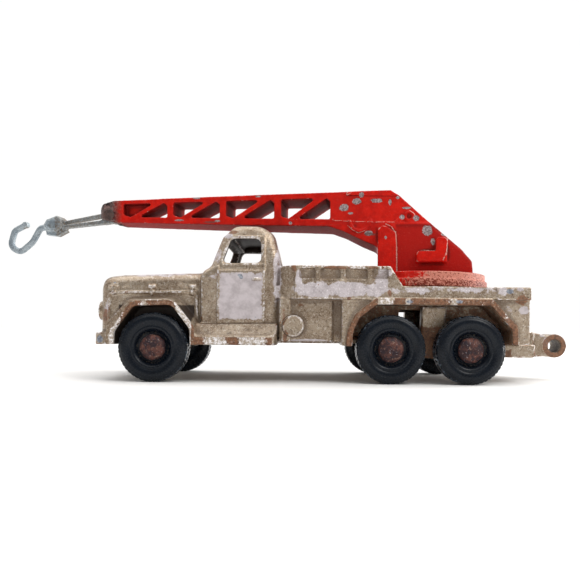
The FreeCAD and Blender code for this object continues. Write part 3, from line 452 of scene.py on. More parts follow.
def crane_paint():
    s = Net("crane_paint_worn")
    edge, cave, tip, rim, mark, dull = (s.attr(k) for k in ("edge", "cave", "tip", "rim", "mark", "dull"))
    mid = s.noise(0.8, 4, 0.6, s.moved((4, 9, 2)))
    small = s.noise(3.0, 4, 0.65, s.moved((14, 2, 6)))
    grain = s.noise(8.0, 3, 0.6)
    dm, ds, dg = (s.math("SUBTRACT", x, 0.5) for x in (mid, small, grain))
    red = s.mix(s.step(mid, 0.3, 0.7), C_RED_A, C_RED_B)
    # painted shade: the lower house panel, part of the boom, the downward faces and the boom's inner faces darkened;
    # the same zones are rougher
    red = s.mix(s.mul(s.step(s.add(dull, s.mul(dm, 0.5)), 0.3, 0.9), 0.80), red, C_RED_DARK)
    # painted shade: the hollows darkened, together with grime
    grime_and_shade = s.step(s.add(cave, s.mul(ds, 0.5)), 0.40, 0.95)
    red = s.mix(s.mul(grime_and_shade, 0.65), red, (0.050, 0.006, 0.005))
    # fine scuffs in the gloss, pinkish
    scr = s.step(s.noise(2.6, 5, 0.75, s.moved((1, 1, 1), (1.0, 1.0, 3.0)), 0.6), 0.60, 0.66)
    red = s.mix(s.mul(scr, 0.42), red, (0.52, 0.085, 0.055))
    worn = s.step(s.add(s.mul(edge, 1.0), s.mul(ds, 1.0), s.mul(dm, 1.1)), 0.86, 0.98)
    pink = s.mix(s.step(grain, 0.35, 0.65), (0.40, 0.13, 0.095), (0.72, 0.47, 0.42))
    col = s.mix(s.mul(worn, 0.75), red, pink)
    col = s.mix(s.mul(s.step(s.add(mark, s.mul(ds, 0.9)), 0.55, 0.75), 0.9), col, pink)
    # rubbed rim of the turntable: primer with brown pits
    rimw = s.step(s.add(rim, s.mul(ds, 0.7), s.mul(dm, 0.7)), 0.42, 0.66)
    pits = s.step(s.add(s.noise(4.5, 3, 0.65, s.moved((5, 5, 9))), s.mul(s.attr("low"), 0.10)), 0.55, 0.62)
    col = s.mix(s.mul(rimw, 0.8), col, s.mix(pits, s.mix(grain, (0.46, 0.17, 0.12), (0.58, 0.32, 0.24)), (0.075, 0.028, 0.016)))
    # chips to bare metal, each with a dark torn border
    chip = s.add(s.attr("chip"), s.mul(ds, 0.95), s.mul(dm, 0.5), s.mul(dg, 0.2))
    ring = s.step(chip, 0.33, 0.41)
    bare = s.step(chip, 0.41, 0.47)
    col = s.mix(s.mul(ring, 0.55), col, (0.17, 0.045, 0.035))
    zinc = s.mix(s.step(s.noise(5.0, 3, 0.7, s.moved((1, 6, 2))), 0.40, 0.62), (0.17, 0.145, 0.15), (0.52, 0.46, 0.46))
    col = s.mix(s.mul(bare, 0.9), col, zinc)
    # the tip, blackened and rubbed through
    brown = s.step(s.add(tip, s.mul(dm, 0.7)), 0.12, 0.50)
    col = s.mix(s.mul(brown, 0.8), col, s.mix(s.step(small, 0.4, 0.7), (0.11, 0.022, 0.016), (0.30, 0.11, 0.085)))
    soot = s.mix(s.step(s.noise(1.8, 4, 0.7, s.moved((8, 8, 8))), 0.42, 0.60), (0.016, 0.010, 0.011), s.mix(grain, (0.085, 0.045, 0.042), (0.30, 0.20, 0.18)))
    col = s.mix(s.step(s.add(tip, s.mul(ds, 0.9)), 0.42, 0.70), col, soot)
    # brown stains along the underside: painted shade on the downward faces, with stain spots
    col = s.mix(s.mul(s.step(s.add(s.attr("stain"), s.mul(ds, 0.8)), 0.50, 0.80), 0.75), col, s.mix(small, (0.035, 0.016, 0.014), (0.19, 0.10, 0.085)))
    rough = s.add(0.24, s.mul(grain, 0.12), s.mul(grime_and_shade, 0.25), s.mul(brown, 0.15), s.mul(rimw, 0.25), s.mul(dull, 0.42))
    h = s.add(s.mul(mid, 1.0), s.mul(small, 0.22), s.mul(ring, -0.8), s.mul(bare, -0.6), s.mul(worn, -0.4), s.mul(rimw, -0.4), s.mul(pits, -0.3), s.mul(bare, s.mul(small, 1.2)))
    return s.done(col, rough, s.mul(bare, 0.55), s.bump(h, 0.7, 0.06), 0.15, 0.0, 0.2)


def zinc_metal():
    s = Net("hook_zinc_cast")
    edge, cave = s.attr("edge"), s.attr("cave")
    mid = s.noise(0.9, 4, 0.6)
    small = s.noise(4.0, 4, 0.65, s.moved((2, 5, 1)))
    grain = s.noise(12.0, 2, 0.6)
    col = s.mix(s.step(mid, 0.35, 0.65), (0.20, 0.24, 0.275), (0.36, 0.41, 0.44))
    col = s.mix(s.mul(s.step(edge, 0.25, 0.8), 0.6), col, (0.56, 0.61, 0.62))
    # painted shade: the hollows darkened brown, together with grime
    col = s.mix(s.mul(s.step(s.add(cave, s.mul(s.math("SUBTRACT", small, 0.5), 1.0)), 0.3, 0.9), 0.7), col, (0.10, 0.085, 0.06))
    col = s.mix(s.mul(s.step(s.add(s.attr("stain"), s.mul(s.math("SUBTRACT", small, 0.5), 0.9)), 0.4, 0.75), 0.85), col, s.mix(grain, (0.10, 0.07, 0.045), (0.26, 0.21, 0.16)))
    rough = s.add(0.40, s.mul(small, 0.25))
    h = s.add(s.mul(mid, 1.0), s.mul(small, 0.5), s.mul(grain, 0.3))
    return s.done(col, rough, 0.55, s.bump(h, 0.5, 0.03), 0.5)


def tyre_plastic():
    s = Net("tyre_blue_black")
    scuff = s.attr("scuff")
    mid = s.noise(0.7, 3, 0.6)
    small = s.noise(3.5, 4, 0.7, s.moved((6, 1, 4)))
    grain = s.noise(14.0, 2, 0.6)
    ds, dm = s.math("SUBTRACT", small, 0.5), s.math("SUBTRACT", mid, 0.5)
    col = s.mix(mid, (0.0022, 0.0034, 0.0060), (0.0050, 0.0085, 0.0145))
    dust = s.step(s.add(s.attr("dust"), s.mul(ds, 1.3)), 0.62, 1.0)
    col = s.mix(s.mul(dust, 0.5), col, (0.13, 0.10, 0.065))
    rub = s.step(s.add(scuff, s.mul(ds, 2.0), s.mul(dm, 1.4)), 0.78, 0.92)
    col = s.mix(s.mul(rub, 0.50), col, (0.16, 0.20, 0.25))
    rough = s.add(0.20, s.mul(small, 0.14), s.mul(dust, 0.3), s.mul(rub, 0.2))
    h = s.add(s.mul(mid, 0.8), s.mul(small, 0.5), s.mul(grain, 0.15))
    return s.done(col, rough, 0.0, s.bump(h, 0.5, 0.04), 0.22)


def rusty_steel():
    s = Net("axle_rusted_steel")
    mid = s.noise(1.1, 4, 0.65)
    small = s.noise(3.4, 4, 0.7, s.moved((3, 3, 9)))
    col = s.mix(s.step(mid, 0.40, 0.60), (0.030, 0.012, 0.014), (0.105, 0.038, 0.028))
    col = s.mix(s.mul(s.step(s.noise(1.5, 5, 0.7, s.moved((3, 13, 9))), 0.50, 0.58), 0.85), col, (0.016, 0.010, 0.016))
    col = s.mix(s.mul(s.step(s.noise(2.4, 4, 0.7, s.moved((7, 0, 1))), 0.56, 0.68), 0.75), col, (0.27, 0.16, 0.12))
    col = s.mix(s.mul(s.step(s.noise(4.6, 3, 0.7, s.moved((1, 9, 1))), 0.62, 0.70), 0.8), col, (0.45, 0.40, 0.42))
    rough = s.add(0.34, s.mul(small, 0.35))
    h = s.add(s.mul(mid, 1.0), s.mul(small, 0.9))
    return s.done(col, rough, 0.25, s.bump(h, 1.0, 0.08), 0.35)


def dull_steel(name, a, b, rough=0.4, metal=0.8):
    s = Net(name)
    mid = s.noise(1.2, 4, 0.6)
    small = s.noise(5.0, 4, 0.7, s.moved((2, 3, 4)))
    col = s.mix(s.step(mid, 0.3, 0.7), a, b)
    col = s.mix(s.mul(s.step(small, 0.55, 0.75), 0.6), col, tuple(0.35 * c for c in a))
    h = s.add(mid, s.mul(small, 0.6))
    return s.done(col, s.add(rough, s.mul(small, 0.2)), metal, s.bump(h, 0.5, 0.04), 0.5)


C_TAN_A, C_TAN_B = (0.235, 0.168, 0.112), (0.36, 0.285, 0.21)
C_FLAKE_GLINT, C_FRECKLE = (0.66, 0.60, 0.52), (0.085, 0.045, 0.022)
C_PALE_A, C_PALE_B, C_WHITE = (0.40, 0.355, 0.365), (0.54, 0.49, 0.505), (0.88, 0.85, 0.86)
C_PIT = (0.17, 0.12, 0.10)
C_GRIME_SHADE_A, C_GRIME_SHADE_B = (0.060, 0.034, 0.020), (0.14, 0.088, 0.052)
C_SOOT_SHADE_A, C_SOOT_SHADE_B = (0.012, 0.008, 0.006), (0.050, 0.030, 0.020)
C_RUST_A, C_RUST_B = (0.10, 0.048, 0.028), (0.25, 0.115, 0.058)
C_RED_A, C_RED_B, C_RED_DARK = (0.44, 0.0055, 0.0018), (0.60, 0.010, 0.003), (0.17, 0.0025, 0.0015)
M_TRUCK = truck_paint()
M_CRANE = crane_paint()
M_ZINC = zinc_metal()
M_TYRE = tyre_plastic()
M_RUST = rusty_steel()
M_RIVET = dull_steel("rivet_dull_steel", (0.30, 0.28, 0.25), (0.42, 0.40, 0.37))
M_PIN = dull_steel("pin_tarnished", (0.05, 0.035, 0.032), (0.12, 0.07, 0.06), 0.4, 0.5)


def paint(ob, mat):
    ob.data.materials.clear()
    ob.data.materials.append(mat)


# ---------------------------------------------------------------- zones of wear and of painted light and shade
def box_zone(p, lo, hi, soft=0.3):
    lo, hi = np.array(lo), np.array(hi)
    d = np.minimum(p - lo, hi - p).min(1)
    return np.clip(0.5 + d / (2 * soft), 0, 1)


def spots(p, items, front=True):
    """Largest of soft discs, each (x, y, z, radius along, radius up) in mm."""
    out = np.zeros(len(p))
    for x, y, z, ra, rz in items:
        d = np.sqrt(((p[:, 0] - x) / ra) ** 2 + ((p[:, 2] - z) / rz) ** 2 + ((p[:, 1] - y) / 0.9) ** 2)
        out = np.maximum(out, 1.0 - d * 0.6)
    return np.clip(out, 0, 1)


FRONT_ARCH = [(22.1, 4.0), (22.1, 6.3), (19.7, 9.85), (19.1, 10.05), (14.9, 10.15), (14.1, 9.9), (12.2, 7.0), (12.1, 4.0)]
REAR_LIP = [(-8.5, 5.0), (-8.9, 7.0), (-9.9, 8.95), (-12.4, 10.85), (-27.2, 10.75), (-28.3, 9.7), (-29.8, 7.9), (-30.2, 6.8), (-30.2, 5.5)]
WINDOW = [(8.25, 15.62), (8.36, 16.2), (7.55, 18.4), (7.0, 19.25), (6.4, 19.55), (2.95, 19.55), (2.78, 19.3), (2.78, 15.7), (8.25, 15.62)]
BEADS = [  # raised lines: polyline, half width, height
    ([(23.66, 11.81), (17.84, 11.96), (11.9, 12.15)], 0.11, 0.10),
    ([(11.61, 14.2), (11.72, 12.1), (11.74, 10.08), (11.46, 8.05)], 0.11, 0.10),
    ([(23.67, 12.62), (22.49, 12.63)], 0.12, 0.10), ([(23.08, 12.63), (23.07, 11.56)], 0.11, 0.09),
    ([(18.15, 12.68), (17.47, 12.68)], 0.12, 0.10), ([(17.85, 12.68), (17.88, 11.57)], 0.10, 0.09),
    ([(12.7, 12.8), (11.9, 12.8)], 0.12, 0.10), ([(12.27, 12.77), (12.3, 11.62)], 0.10, 0.09),
    ([(21.65, 12.71), (21.48, 12.88), (21.31, 12.78), (21.17, 12.95), (20.94, 12.75)], 0.10, 0.09),
    ([(14.22, 13.16), (13.2, 12.85)], 0.12, 0.10),
    ([(8.77, 15.4), (8.78, 12.56), (8.76, 7.98)], 0.11, 0.11),
    ([(2.68, 19.9), (2.61, 15.95), (2.61, 8.1)], 0.11, 0.11),
    (WINDOW, 0.15, 0.10)]
GROOVES = [  # sunk lines
    ([(11.1, 7.74), (5.97, 7.84), (1.34, 7.92)], 0.10, 0.10),
    ([(-6.55, 10.87), (-6.5, 5.57)], 0.09, 0.12),
    (ring_line(-1.34, 7.55, 1.50), 0.10, 0.10),
    ([(-1.40, 14.9), (-1.42, 11.3)], 0.08, 0.05)]
CAP_BEAD = (ring_line(-1.34, 7.55, 1.32), 0.10, 0.06)


def truck_melt(co):
    """Where the casting's corners are rounder than the plain solid's."""
    p = local_truck(co)
    nose = box_zone(p, (22.6, -12, 12.6), (26.0, 12, 16.0), 0.5)
    roof = box_zone(p, (4.5, -12, 19.95), (10.0, 12, 22.0), 0.25)
    back = box_zone(p, (0.0, -12, 18.3), (2.35, 12, 22.0), 0.3)
    top = box_zone(p, (0.0, -12, 20.1), (10.0, 12, 22.0), 0.3)
    cowl = box_zone(p, (9.3, -12, 14.3), (12.6, 12, 16.2), 0.4) * (p[:, 0] > 9.0)
    return np.maximum.reduce([nose * 0.8, roof, back, top, cowl])


def truck_emboss(co, n):
    p = local_truck(co)
    skin = np.clip((np.abs(n[:, 1]) - 0.45) / 0.3, 0, 1) * (np.abs(p[:, 1]) > 7.3) * (n[:, 1] * p[:, 1] > 0)
    out = np.zeros(len(p))
    for line, w, h in BEADS + [CAP_BEAD]:
        out = np.maximum(out, h * np.exp(-(along(p, line) / w) ** 2))
    knob = np.exp(-((p[:, 0] - 3.65) / 0.38) ** 4 - ((p[:, 2] - 13.74) / 0.20) ** 4) * (np.abs(p[:, 1]) > 9.0)
    out = np.maximum(out, 0.20 * knob)
    cut = np.zeros(len(p))
    for line, w, h in GROOVES:
        cut = np.maximum(cut, h * np.exp(-(along(p, line) / w) ** 2))
    cap = np.exp(-(np.hypot(p[:, 0] + 1.34, p[:, 2] - 7.55) / 1.1) ** 6) * 0.05
    return (out - cut * (out < 0.03) - cap) * skin


def spans(x, items, soft=0.25):
    out = np.zeros(len(x))
    for a, b in items:
        lo, hi = min(a, b), max(a, b)
        out = np.maximum(out, np.clip(np.minimum(x - lo, hi - x) / (2 * soft) + 0.5, 0, 1))
    return out


def truck_zones(co, n):
    p = local_truck(co)
    ay = np.abs(p[:, 1])
    out = n[:, 1] * p[:, 1] > 0
    side = (np.abs(n[:, 1]) > 0.5) * out
    # door face lightened: rubbed undercoat with a painted sheen
    door = box_zone(p, (2.75, -10.2, 8.3), (8.65, 10.2, 14.6), 0.5) * side
    band = blobs(p, [(-4.2, 12.3, 2.9, 1.0, 1.0), (-8.3, 12.4, 3.4, 1.0, 1.0), (-12.9, 13.3, 0.9, 1.6, 0.95), (-12.0, 12.3, 1.6, 0.9, 0.85), (-14.8, 12.4, 1.0, 0.5, 0.55),
                     (-2.0, 13.6, 0.45, 1.4, 0.85), (-18.5, 12.35, 3.0, 0.5, 0.62), (-24.0, 12.5, 3.6, 0.45, 0.62), (-28.7, 12.4, 0.7, 0.7, 0.8), (-30.9, 12.6, 0.6, 0.4, 0.8),
                     (-31.6, 9.9, 0.7, 0.55, 1.0), (-3.3, 5.62, 2.6, 0.22, 1.0), (-29.5, 9.9, 1.2, 1.0, 0.45), (-13.3, 14.6, 1.0, 0.6, 0.9)]) * side
    rail = box_zone(p, (-32.4, -12, 11.7), (-1.6, 12, 13.2), 0.4) * side * 0.50
    # painted highlights down the cab's rear corner and along the bonnet top, with rubbed spots around the door, window
    # frame and nose
    gleam_and_rub = blobs(p, [(0.85, 14.2, 0.75, 5.2, 0.62), (17.2, 14.45, 6.0, 0.5, 0.60), (8.8, 17.3, 0.6, 2.6, 0.5),
                        (9.4, 17.0, 0.6, 1.2, 0.7), (7.6, 19.7, 0.8, 0.5, 0.8), (9.3, 14.3, 0.8, 0.9, 0.45), (24.0, 10.2, 0.7, 2.0, 0.5)])
    pale = np.maximum.reduce([door * 0.92, band, gleam_and_rub, rail])
    # painted glints: bright specks over the rail band and the painted highlights
    spark = np.clip(box_zone(p, (-32.5, -12, 11.3), (-1.4, 12, 15.6), 0.5) * side, 0, 1) * 0.9
    spark = np.maximum(spark, np.clip(gleam_and_rub * 1.5, 0, 1))
    arch = np.clip(1.4 - along(p, FRONT_ARCH) / 0.62, 0, 1) * (ay > 10.6) * (p[:, 0] > 11.3)
    lip = np.clip(1.5 - along(p, REAR_LIP) / 0.48, 0, 1) * (ay > 10.9)
    board = box_zone(p, (0.9, -12, 4.6), (12.3, 12, 5.98), 0.12) * (ay > 10.9)
    under = (ay > 9.0) * np.clip((5.15 - p[:, 2]) / 0.3, 0, 1) * (p[:, 0] > 12)
    lips = np.maximum.reduce([arch, lip, board, under * 0.8])
    wa = np.maximum(spans(p[:, 0], [(21.0, 24.0), (17.7, 18.7), (10.0, 14.4)], 0.6) * 0.80, 0.22)
    wr = np.maximum(spans(p[:, 0], [(-14.5, -12.2), (-16.9, -15.9), (-21.8, -22.8), (-29.6, -28.9)], 0.45) * 0.80, 0.18)
    wb = np.maximum(spans(p[:, 0], [(10.5, 7.2), (5.8, 2.0)], 0.5) * 0.78, 0.2)
    white = np.where(p[:, 0] > 12.0, wa, np.where(p[:, 0] > 0, wb, wr))
    rust = blobs(p, [(-30.1, 6.9, 0.75, 1.4, 1.0), (-29.5, 8.3, 0.7, 0.6, 0.9), (-31.2, 11.3, 0.8, 0.65, 0.85), (-7.0, 15.2, 1.5, 0.25, 0.9), (-1.4, 15.0, 0.35, 0.35, 1.0),
                     (-11.6, 15.25, 0.6, 0.2, 0.8), (-2.3, 10.35, 0.38, 0.16, 1.0), (-5.7, 9.0, 0.5, 0.7, 0.45), (-0.3, 6.3, 0.3, 0.9, 0.8), (-0.1, 9.0, 0.35, 2.0, 0.55),
                     (24.2, 8.6, 0.6, 1.5, 0.55), (-13.9, 11.9, 0.3, 0.5, 0.8), (-8.6, 11.2, 0.3, 0.25, 0.9), (-31.4, 10.9, 0.4, 0.5, 0.6), (7.0, 20.2, 0.8, 0.35, 0.8)]) * (side | (n[:, 2] > 0.5))
    inner = box_zone(p, (-31.0, -10.3, 3.0), (-8.9, 10.3, 10.9), 0.35)
    mudd = np.maximum(inner * 0.62, box_zone(p, (-30.9, -11.3, 3.0), (-8.9, 11.3, 10.2), 0.2) * 0.60)
    rust = np.maximum(rust, mudd * (~out | (ay < 10.6)) * 0.9)
    # painted shade inside the front wheel wells, the cab and the cavity under the body
    wing = box_zone(p, (12.0, -11.0, 3.0), (22.4, 11.0, 10.3), 0.35) * (ay < 11.05)
    inward = ((5.3 - p[:, 0]) * n[:, 0] - p[:, 1] * n[:, 1] + (14.5 - p[:, 2]) * n[:, 2]) > 0
    cabin = box_zone(p, (1.0, -9.2, 6.0), (9.9, 9.2, 20.6), 0.1) * inward
    cellar = box_zone(p, (-8.8, -7.5, 3.0), (23.8, 7.5, 8.4), 0.3) * (p[:, 0] > -8.8)
    soot = np.maximum.reduce([wing * 0.95, cabin, cellar * 0.8])
    chip = blobs(p, [(5.83, 14.25, 0.36, 0.16, 1.0), (5.66, 13.95, 0.28, 0.24, 1.0), (-29.56, 12.3, 0.5, 0.32, 1.0), (-16.5, 10.85, 0.5, 0.22, 0.9), (-23.0, 10.9, 0.5, 0.22, 0.9),
                     (24.3, 5.55, 0.45, 0.5, 1.0), (22.9, 13.2, 0.3, 0.14, 0.7), (3.7, 8.67, 0.12, 0.10, 0.9), (10.0, 14.07, 0.12, 0.1, 0.9)]) * (side | (p[:, 0] > 23.5))
    # white along the raised beads: rubbed paint, partly a painted highlight on the ridges
    mark = np.zeros(len(p))
    for line, w, h in BEADS:
        mark = np.maximum(mark, np.exp(-(along(p, line) / (w * 0.9)) ** 2))
    mark = mark * side * (ay > 7.3) * np.where(p[:, 0] > 9.0, 0.40, 0.62)
    shut = np.zeros(len(p))
    for line, w, h in GROOVES:
        shut = np.maximum(shut, np.exp(-(along(p, line) / (w * 1.1)) ** 2))
    # darker on the sill's upward faces and at the tail end of the side
    sill = box_zone(p, (0.6, -12, 6.1), (11.4, 12, 7.9), 0.25) * (ay > 9.3) * np.clip(n[:, 2] * 2.0, 0, 1)
    tail = box_zone(p, (-33.0, -12, 4.0), (-30.6, 12, 11.0), 0.8) * side
    soot = np.maximum.reduce([soot, sill * 0.50, tail * 0.42])
    return {"pale": pale, "rust": rust, "soot": soot, "chip": chip, "lip": lips, "lipwhite": white, "mark": mark, "spark": spark, "line": shut * side * 0.9}


def base_zones(co, n):
    p = local_truck(co)
    ring = np.clip(1.6 - np.abs(np.hypot(p[:, 0] + 39.43, p[:, 2] - 5.05) - 1.35) / 0.42, 0, 1) * (np.abs(n[:, 1]) > 0.4)
    rust = np.maximum.reduce([box_zone(p, (-31.3, -8, 3.0), (-28.6, 8, 4.75), 0.35) * 0.75, ring * 0.85, box_zone(p, (-22.6, -8, 3.0), (-17.5, 8, 7.8), 0.8) * 0.8,
                              box_zone(p, (-36.6, -8, 3.0), (-33.8, 8, 5.0), 0.8) * 0.35])
    # painted shade in the tow-eye bore and on the plate's top under the body
    bore = (np.hypot(p[:, 0] + 39.43, p[:, 2] - 5.05) < 1.16) * 0.6
    soot = np.maximum(box_zone(p, (-30.5, -7.8, 5.5), (22.5, 7.8, 6.4), 0.4) * 0.75, bore)
    zero = np.zeros(len(p))
    pale = blobs(p, [(-38.1, 5.6, 0.35, 0.9, 0.9), (-37.6, 6.6, 0.5, 0.3, 0.7)]) * (np.abs(p[:, 1]) > 0.8)
    return {"pale": pale, "rust": rust, "soot": soot, "chip": zero, "lip": zero, "lipwhite": zero, "mark": zero, "spark": zero, "line": zero}


CHIPS = [(10.73, 24.86, 0.62, 0.50), (8.85, 25.69, 0.60, 0.42), (8.18, 26.6, 0.34, 0.35), (6.04, 25.72, 0.80, 0.28), (4.1, 25.45, 0.22, 0.38), (1.75, 24.6, 0.60, 0.16),
         (2.38, 23.3, 0.34, 0.34), (0.38, 23.1, 0.38, 0.38), (-1.2, 21.32, 0.62, 0.70), (-1.95, 19.75, 0.26, 0.50), (7.1, 21.05, 0.55, 0.36), (18.63, 22.78, 0.26, 0.22),
         (4.68, 20.26, 0.16, 0.22), (29.9, 23.35, 0.45, 0.16), (36.0, 23.6, 0.7, 0.12), (-3.5, 20.75, 0.35, 0.22), (23.6, 26.9, 0.5, 0.12), (33.2, 26.9, 0.6, 0.12),
         (-7.0, 17.9, 0.35, 0.4), (9.75, 24.0, 0.35, 0.16), (3.0, 26.1, 0.25, 0.2)]
CRANE_BEADS = [([(12.3, 23.05), (9.81, 22.85), (8.37, 22.72), (5.5, 22.6), (3.4, 22.55)], 0.13, 0.09), ([(0.3, 22.25), (-1.3, 22.15)], 0.11, 0.07)]
CRANE_RUBS = [([(3.3, 21.2), (3.12, 19.0), (3.05, 15.6)], 0.16), ([(-3.99, 20.3), (-3.75, 18.0), (-3.3, 17.0)], 0.16), ([(-3.1, 20.75), (-3.9, 20.55)], 0.15), ([(-2.3, 18.45), (-0.1, 18.5)], 0.10),
              ([(12.3, 23.05), (8.37, 22.72), (3.4, 22.55)], 0.10), ([(4.7, 22.35), (3.9, 21.95), (3.4, 21.2)], 0.12), ([(1.3, 24.2), (0.62, 23.7), (0.62, 23.1)], 0.12),
              ([(2.95, 15.2), (-7.9, 15.2)], 0.12), ([(10.2, 22.3), (9.44, 21.55), (8.6, 21.1), (7.6, 21.4)], 0.09), ([(12.3, 23.2), (45.0, 23.95)], 0.07)]


def crane_emboss(co, n):
    p = local_crane(co)
    skin = (np.abs(n[:, 1]) > 0.5) * (np.abs(p[:, 1]) > 3.2)
    out = np.zeros(len(p))
    for line, w, h in CRANE_BEADS:
        out = np.maximum(out, h * np.exp(-(along(p, line) / w) ** 2))
    pit = blobs(p, [(u, z, a, b, 1.0) for u, z, a, b in CHIPS])
    return (out - 0.05 * np.clip(pit * 1.5, 0, 1)) * skin


def crane_zones(co, n):
    p = local_crane(co)
    side = np.abs(n[:, 1]) > 0.35
    chip = blobs(p, [(u, z, a, b, 1.0) for u, z, a, b in CHIPS]) * side
    tops = np.zeros(len(p))
    for u, v, ru, rv in ((12.5, -1.8, 0.8, 0.4), (9.0, 0.6, 0.6, 0.5), (18.0, 1.4, 0.7, 0.3), (4.9, -2.4, 0.9, 0.5), (26.0, -1.0, 0.6, 0.3), (5.2, 2.6, 0.5, 0.7)):
        tops = np.maximum(tops, np.clip(1.5 - np.hypot((p[:, 0] - u) / ru, (p[:, 1] - v) / rv), 0, 1))
    chip = np.maximum(chip, tops * (n[:, 2] > 0.6))
    tip = np.clip((p[:, 0] - 44.8) / 3.2, 0, 1)
    r = np.hypot(p[:, 0], p[:, 1])
    rim = np.clip((r - 9.3) / 0.5, 0, 1) * (p[:, 2] < 15.4) * np.clip((4.2 - p[:, 0]) / 9.0 + 0.25, 0.25, 1)
    rim = np.maximum(rim, (n[:, 2] > 0.7) * (p[:, 2] < 15.4) * np.clip((r - 7.0) / 3.5, 0, 1) * 0.6)
    mark = np.zeros(len(p))
    for line, w in CRANE_RUBS:
        mark = np.maximum(mark, np.exp(-(along(p, line) / w) ** 2))
    mark = mark * np.clip((np.abs(p[:, 1]) - 3.0) / 0.4, 0, 1) * 0.85
    mark = mark * np.where(p[:, 0] > 12.4, 0.75, 1.0)
    # painted shade zones: the lower house panel, part of the boom, the downward faces and the boom's inner faces; also
    # rougher there
    dull = (box_zone(p, (-8.0, -4.35, 15.2), (3.2, 4.35, 22.2), 0.25) * 0.95 + box_zone(p, (-2.0, -4.35, 22.0), (13.0, 4.35, 27.0), 0.3) * 0.35) * side
    under = np.clip((-n[:, 2] - 0.4) * 2, 0, 1) * (p[:, 2] > 17.5)
    dull = np.maximum(dull, under)
    inside = (np.abs(n[:, 1]) < 0.35) * (p[:, 0] > 12.0) * (p[:, 0] < 45.5) * (np.abs(p[:, 1]) < 3.4) * (p[:, 2] < 26.5) * (p[:, 2] > 22.7)
    dull = np.maximum(dull, inside * 0.9)
    # painted shade on the downward faces, with brown stain spots
    stain = under * 0.55 * np.clip((24.0 - p[:, 0]) / 6.0, 0.45, 1)
    stain = np.maximum(stain, blobs(p, [(7.0, 20.9, 1.2, 0.35, 0.8), (5.9, 17.6, 0.2, 0.8, 0.9), (0.0, 16.4, 2.8, 0.25, 0.5), (31.0, 23.2, 1.6, 0.25, 0.8), (13.0, 22.4, 3.0, 0.15, 0.6)]))
    low = np.clip((14.3 - p[:, 2]) / 0.6, 0, 1)
    return {"chip": chip, "tip": tip, "rim": rim, "mark": mark, "dull": dull, "stain": stain, "low": low}


def hook_zones(co, n):
    p = local_crane(co)
    stain = ((p[:, 0] > 47.0) & (p[:, 0] < 57.5)) * np.where(p[:, 1] < 0.0, 0.85, 0.6)
    seat = np.clip(1.0 - np.hypot(p[:, 0] - 62.9, p[:, 2] - 22.9) / 1.1, 0, 1)
    return {"stain": np.maximum(stain, seat)}


# ---------------------------------------------------------------- castings
k = 1.0
body = cast_piece("truck_body", "truck_body_casting", 0.13 * k, "chassis", 1, 0.016, 430000, truck_zones, None, truck_emboss, truck_melt)
paint(body, M_TRUCK)
base = cast_piece("base_plate", "base_plate_casting", 0.15 * k, "chassis", 2, 0.016, 110000, base_zones)
paint(base, M_TRUCK)
crane = cast_piece("crane_jib", "crane_casting", 0.12 * k, "crane", 1, 0.014, 240000, crane_zones, None, crane_emboss)
paint(crane, M_CRANE)
hook = cast_piece("hook_block", "hook_casting", 0.10, "hook", 2, 0.012, 60000, hook_zones)
paint(hook, M_ZINC)


# ---------------------------------------------------------------- wheels
def wheel(axle, side, x):
    s = 1.0 if side == "left" else -1.0
    lo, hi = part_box("%s_wheel_%s" % (axle, side))
    cz = (lo.z + hi.z) / 2
    cx = (lo.x + hi.x) / 2
    R = (hi.z - lo.z) / 2 / MM
    yo = (hi.y if s > 0 else -lo.y) / MM
    yi = (lo.y if s > 0 else -hi.y) / MM
    W = yo - yi
    prof = [(0.80, yo - 0.80), (1.20, yo - 0.80), (1.75, yo - 0.80), (1.98, yo - 0.77), (2.10, yo - 0.66), (2.28, yo - 0.44), (2.44, yo - 0.26), (2.56, yo - 0.17),
            (2.70, yo - 0.13), (2.80, yo - 0.17), (2.88, yo - 0.20), (2.97, yo - 0.15), (3.12, yo - 0.07), (3.35, yo - 0.02), (3.60, yo), (3.86, yo - 0.03), (4.06, yo - 0.10), (4.20, yo - 0.20), (4.24, yo - 0.26),
            (4.34, yo - 0.27), (4.42, yo - 0.33), (R - 0.03, yo - 0.44), (R, yo - 0.58)]
    band = list(np.linspace(0.66, 1.42, 6))
    prof += [(R, yo - d) for d in band]
    prof += [(R - 0.02, yo - 1.48), (R - 0.16, yo - 1.53), (R - 0.18, yo - 1.65), (R - 0.16, yo - 1.77), (R - 0.02, yo - 1.82)]
    prof += [(R, yo - (W - d)) for d in band[::-1]]
    prof += [(R, yi + 0.58), (R - 0.03, yi + 0.44), (4.40, yi + 0.30), (4.24, yi + 0.20), (3.9, yi + 0.05), (3.4, yi + 0.0), (2.9, yi + 0.05), (2.6, yi + 0.3), (2.2, yi + 0.35), (1.6, yi + 0.1), (0.80, yi + 0.1)]
    ribs = 46

    def radial(Rr, Y, A):
        d = yo - np.abs(Y)
        # cross grooves, staggered between the two halves of the tread
        half = np.where(d < W / 2, 0.0, math.pi)
        wave = np.cos(A * ribs + half)
        cut = np.clip((-wave - 0.25) / 0.35, 0, 1)
        on = ((Rr > 4.30) & (np.abs(d - W / 2) > 0.14)) * 1.0
        depth = np.clip((Rr - 4.28) / 0.2, 0, 1) * 0.055
        return -cut * on * depth

    outline = [(r, s * y) for r, y in prof]
    ob = turned("%s_wheel_%s_tyre" % (axle, side), outline, cx, cz, ribs * 10, "%s_%s_wheel" % (axle, side), ["%s_wheel_%s" % (axle, side)], radial)
    # scuff on the tread and dust at the hub and the tread shoulder
    co = get_co(ob.data)
    rel = co - np.array([cx, 0, cz])
    r = np.hypot(rel[:, 0], rel[:, 2]) / MM
    d = yo - np.abs(co[:, 1]) / MM
    put(ob.data, "scuff", np.clip((r - 4.20) / 0.30, 0, 1) * 0.72)
    dust = np.exp(-((r - 2.05) / 0.35) ** 2) * 0.7 + np.clip((r - 4.2) / 0.1, 0, 1) * np.clip((4.46 - r) / 0.1, 0, 1) * 0.6
    put(ob.data, "dust", dust * (d < 1.2))
    paint(ob, M_TYRE)
    return ob


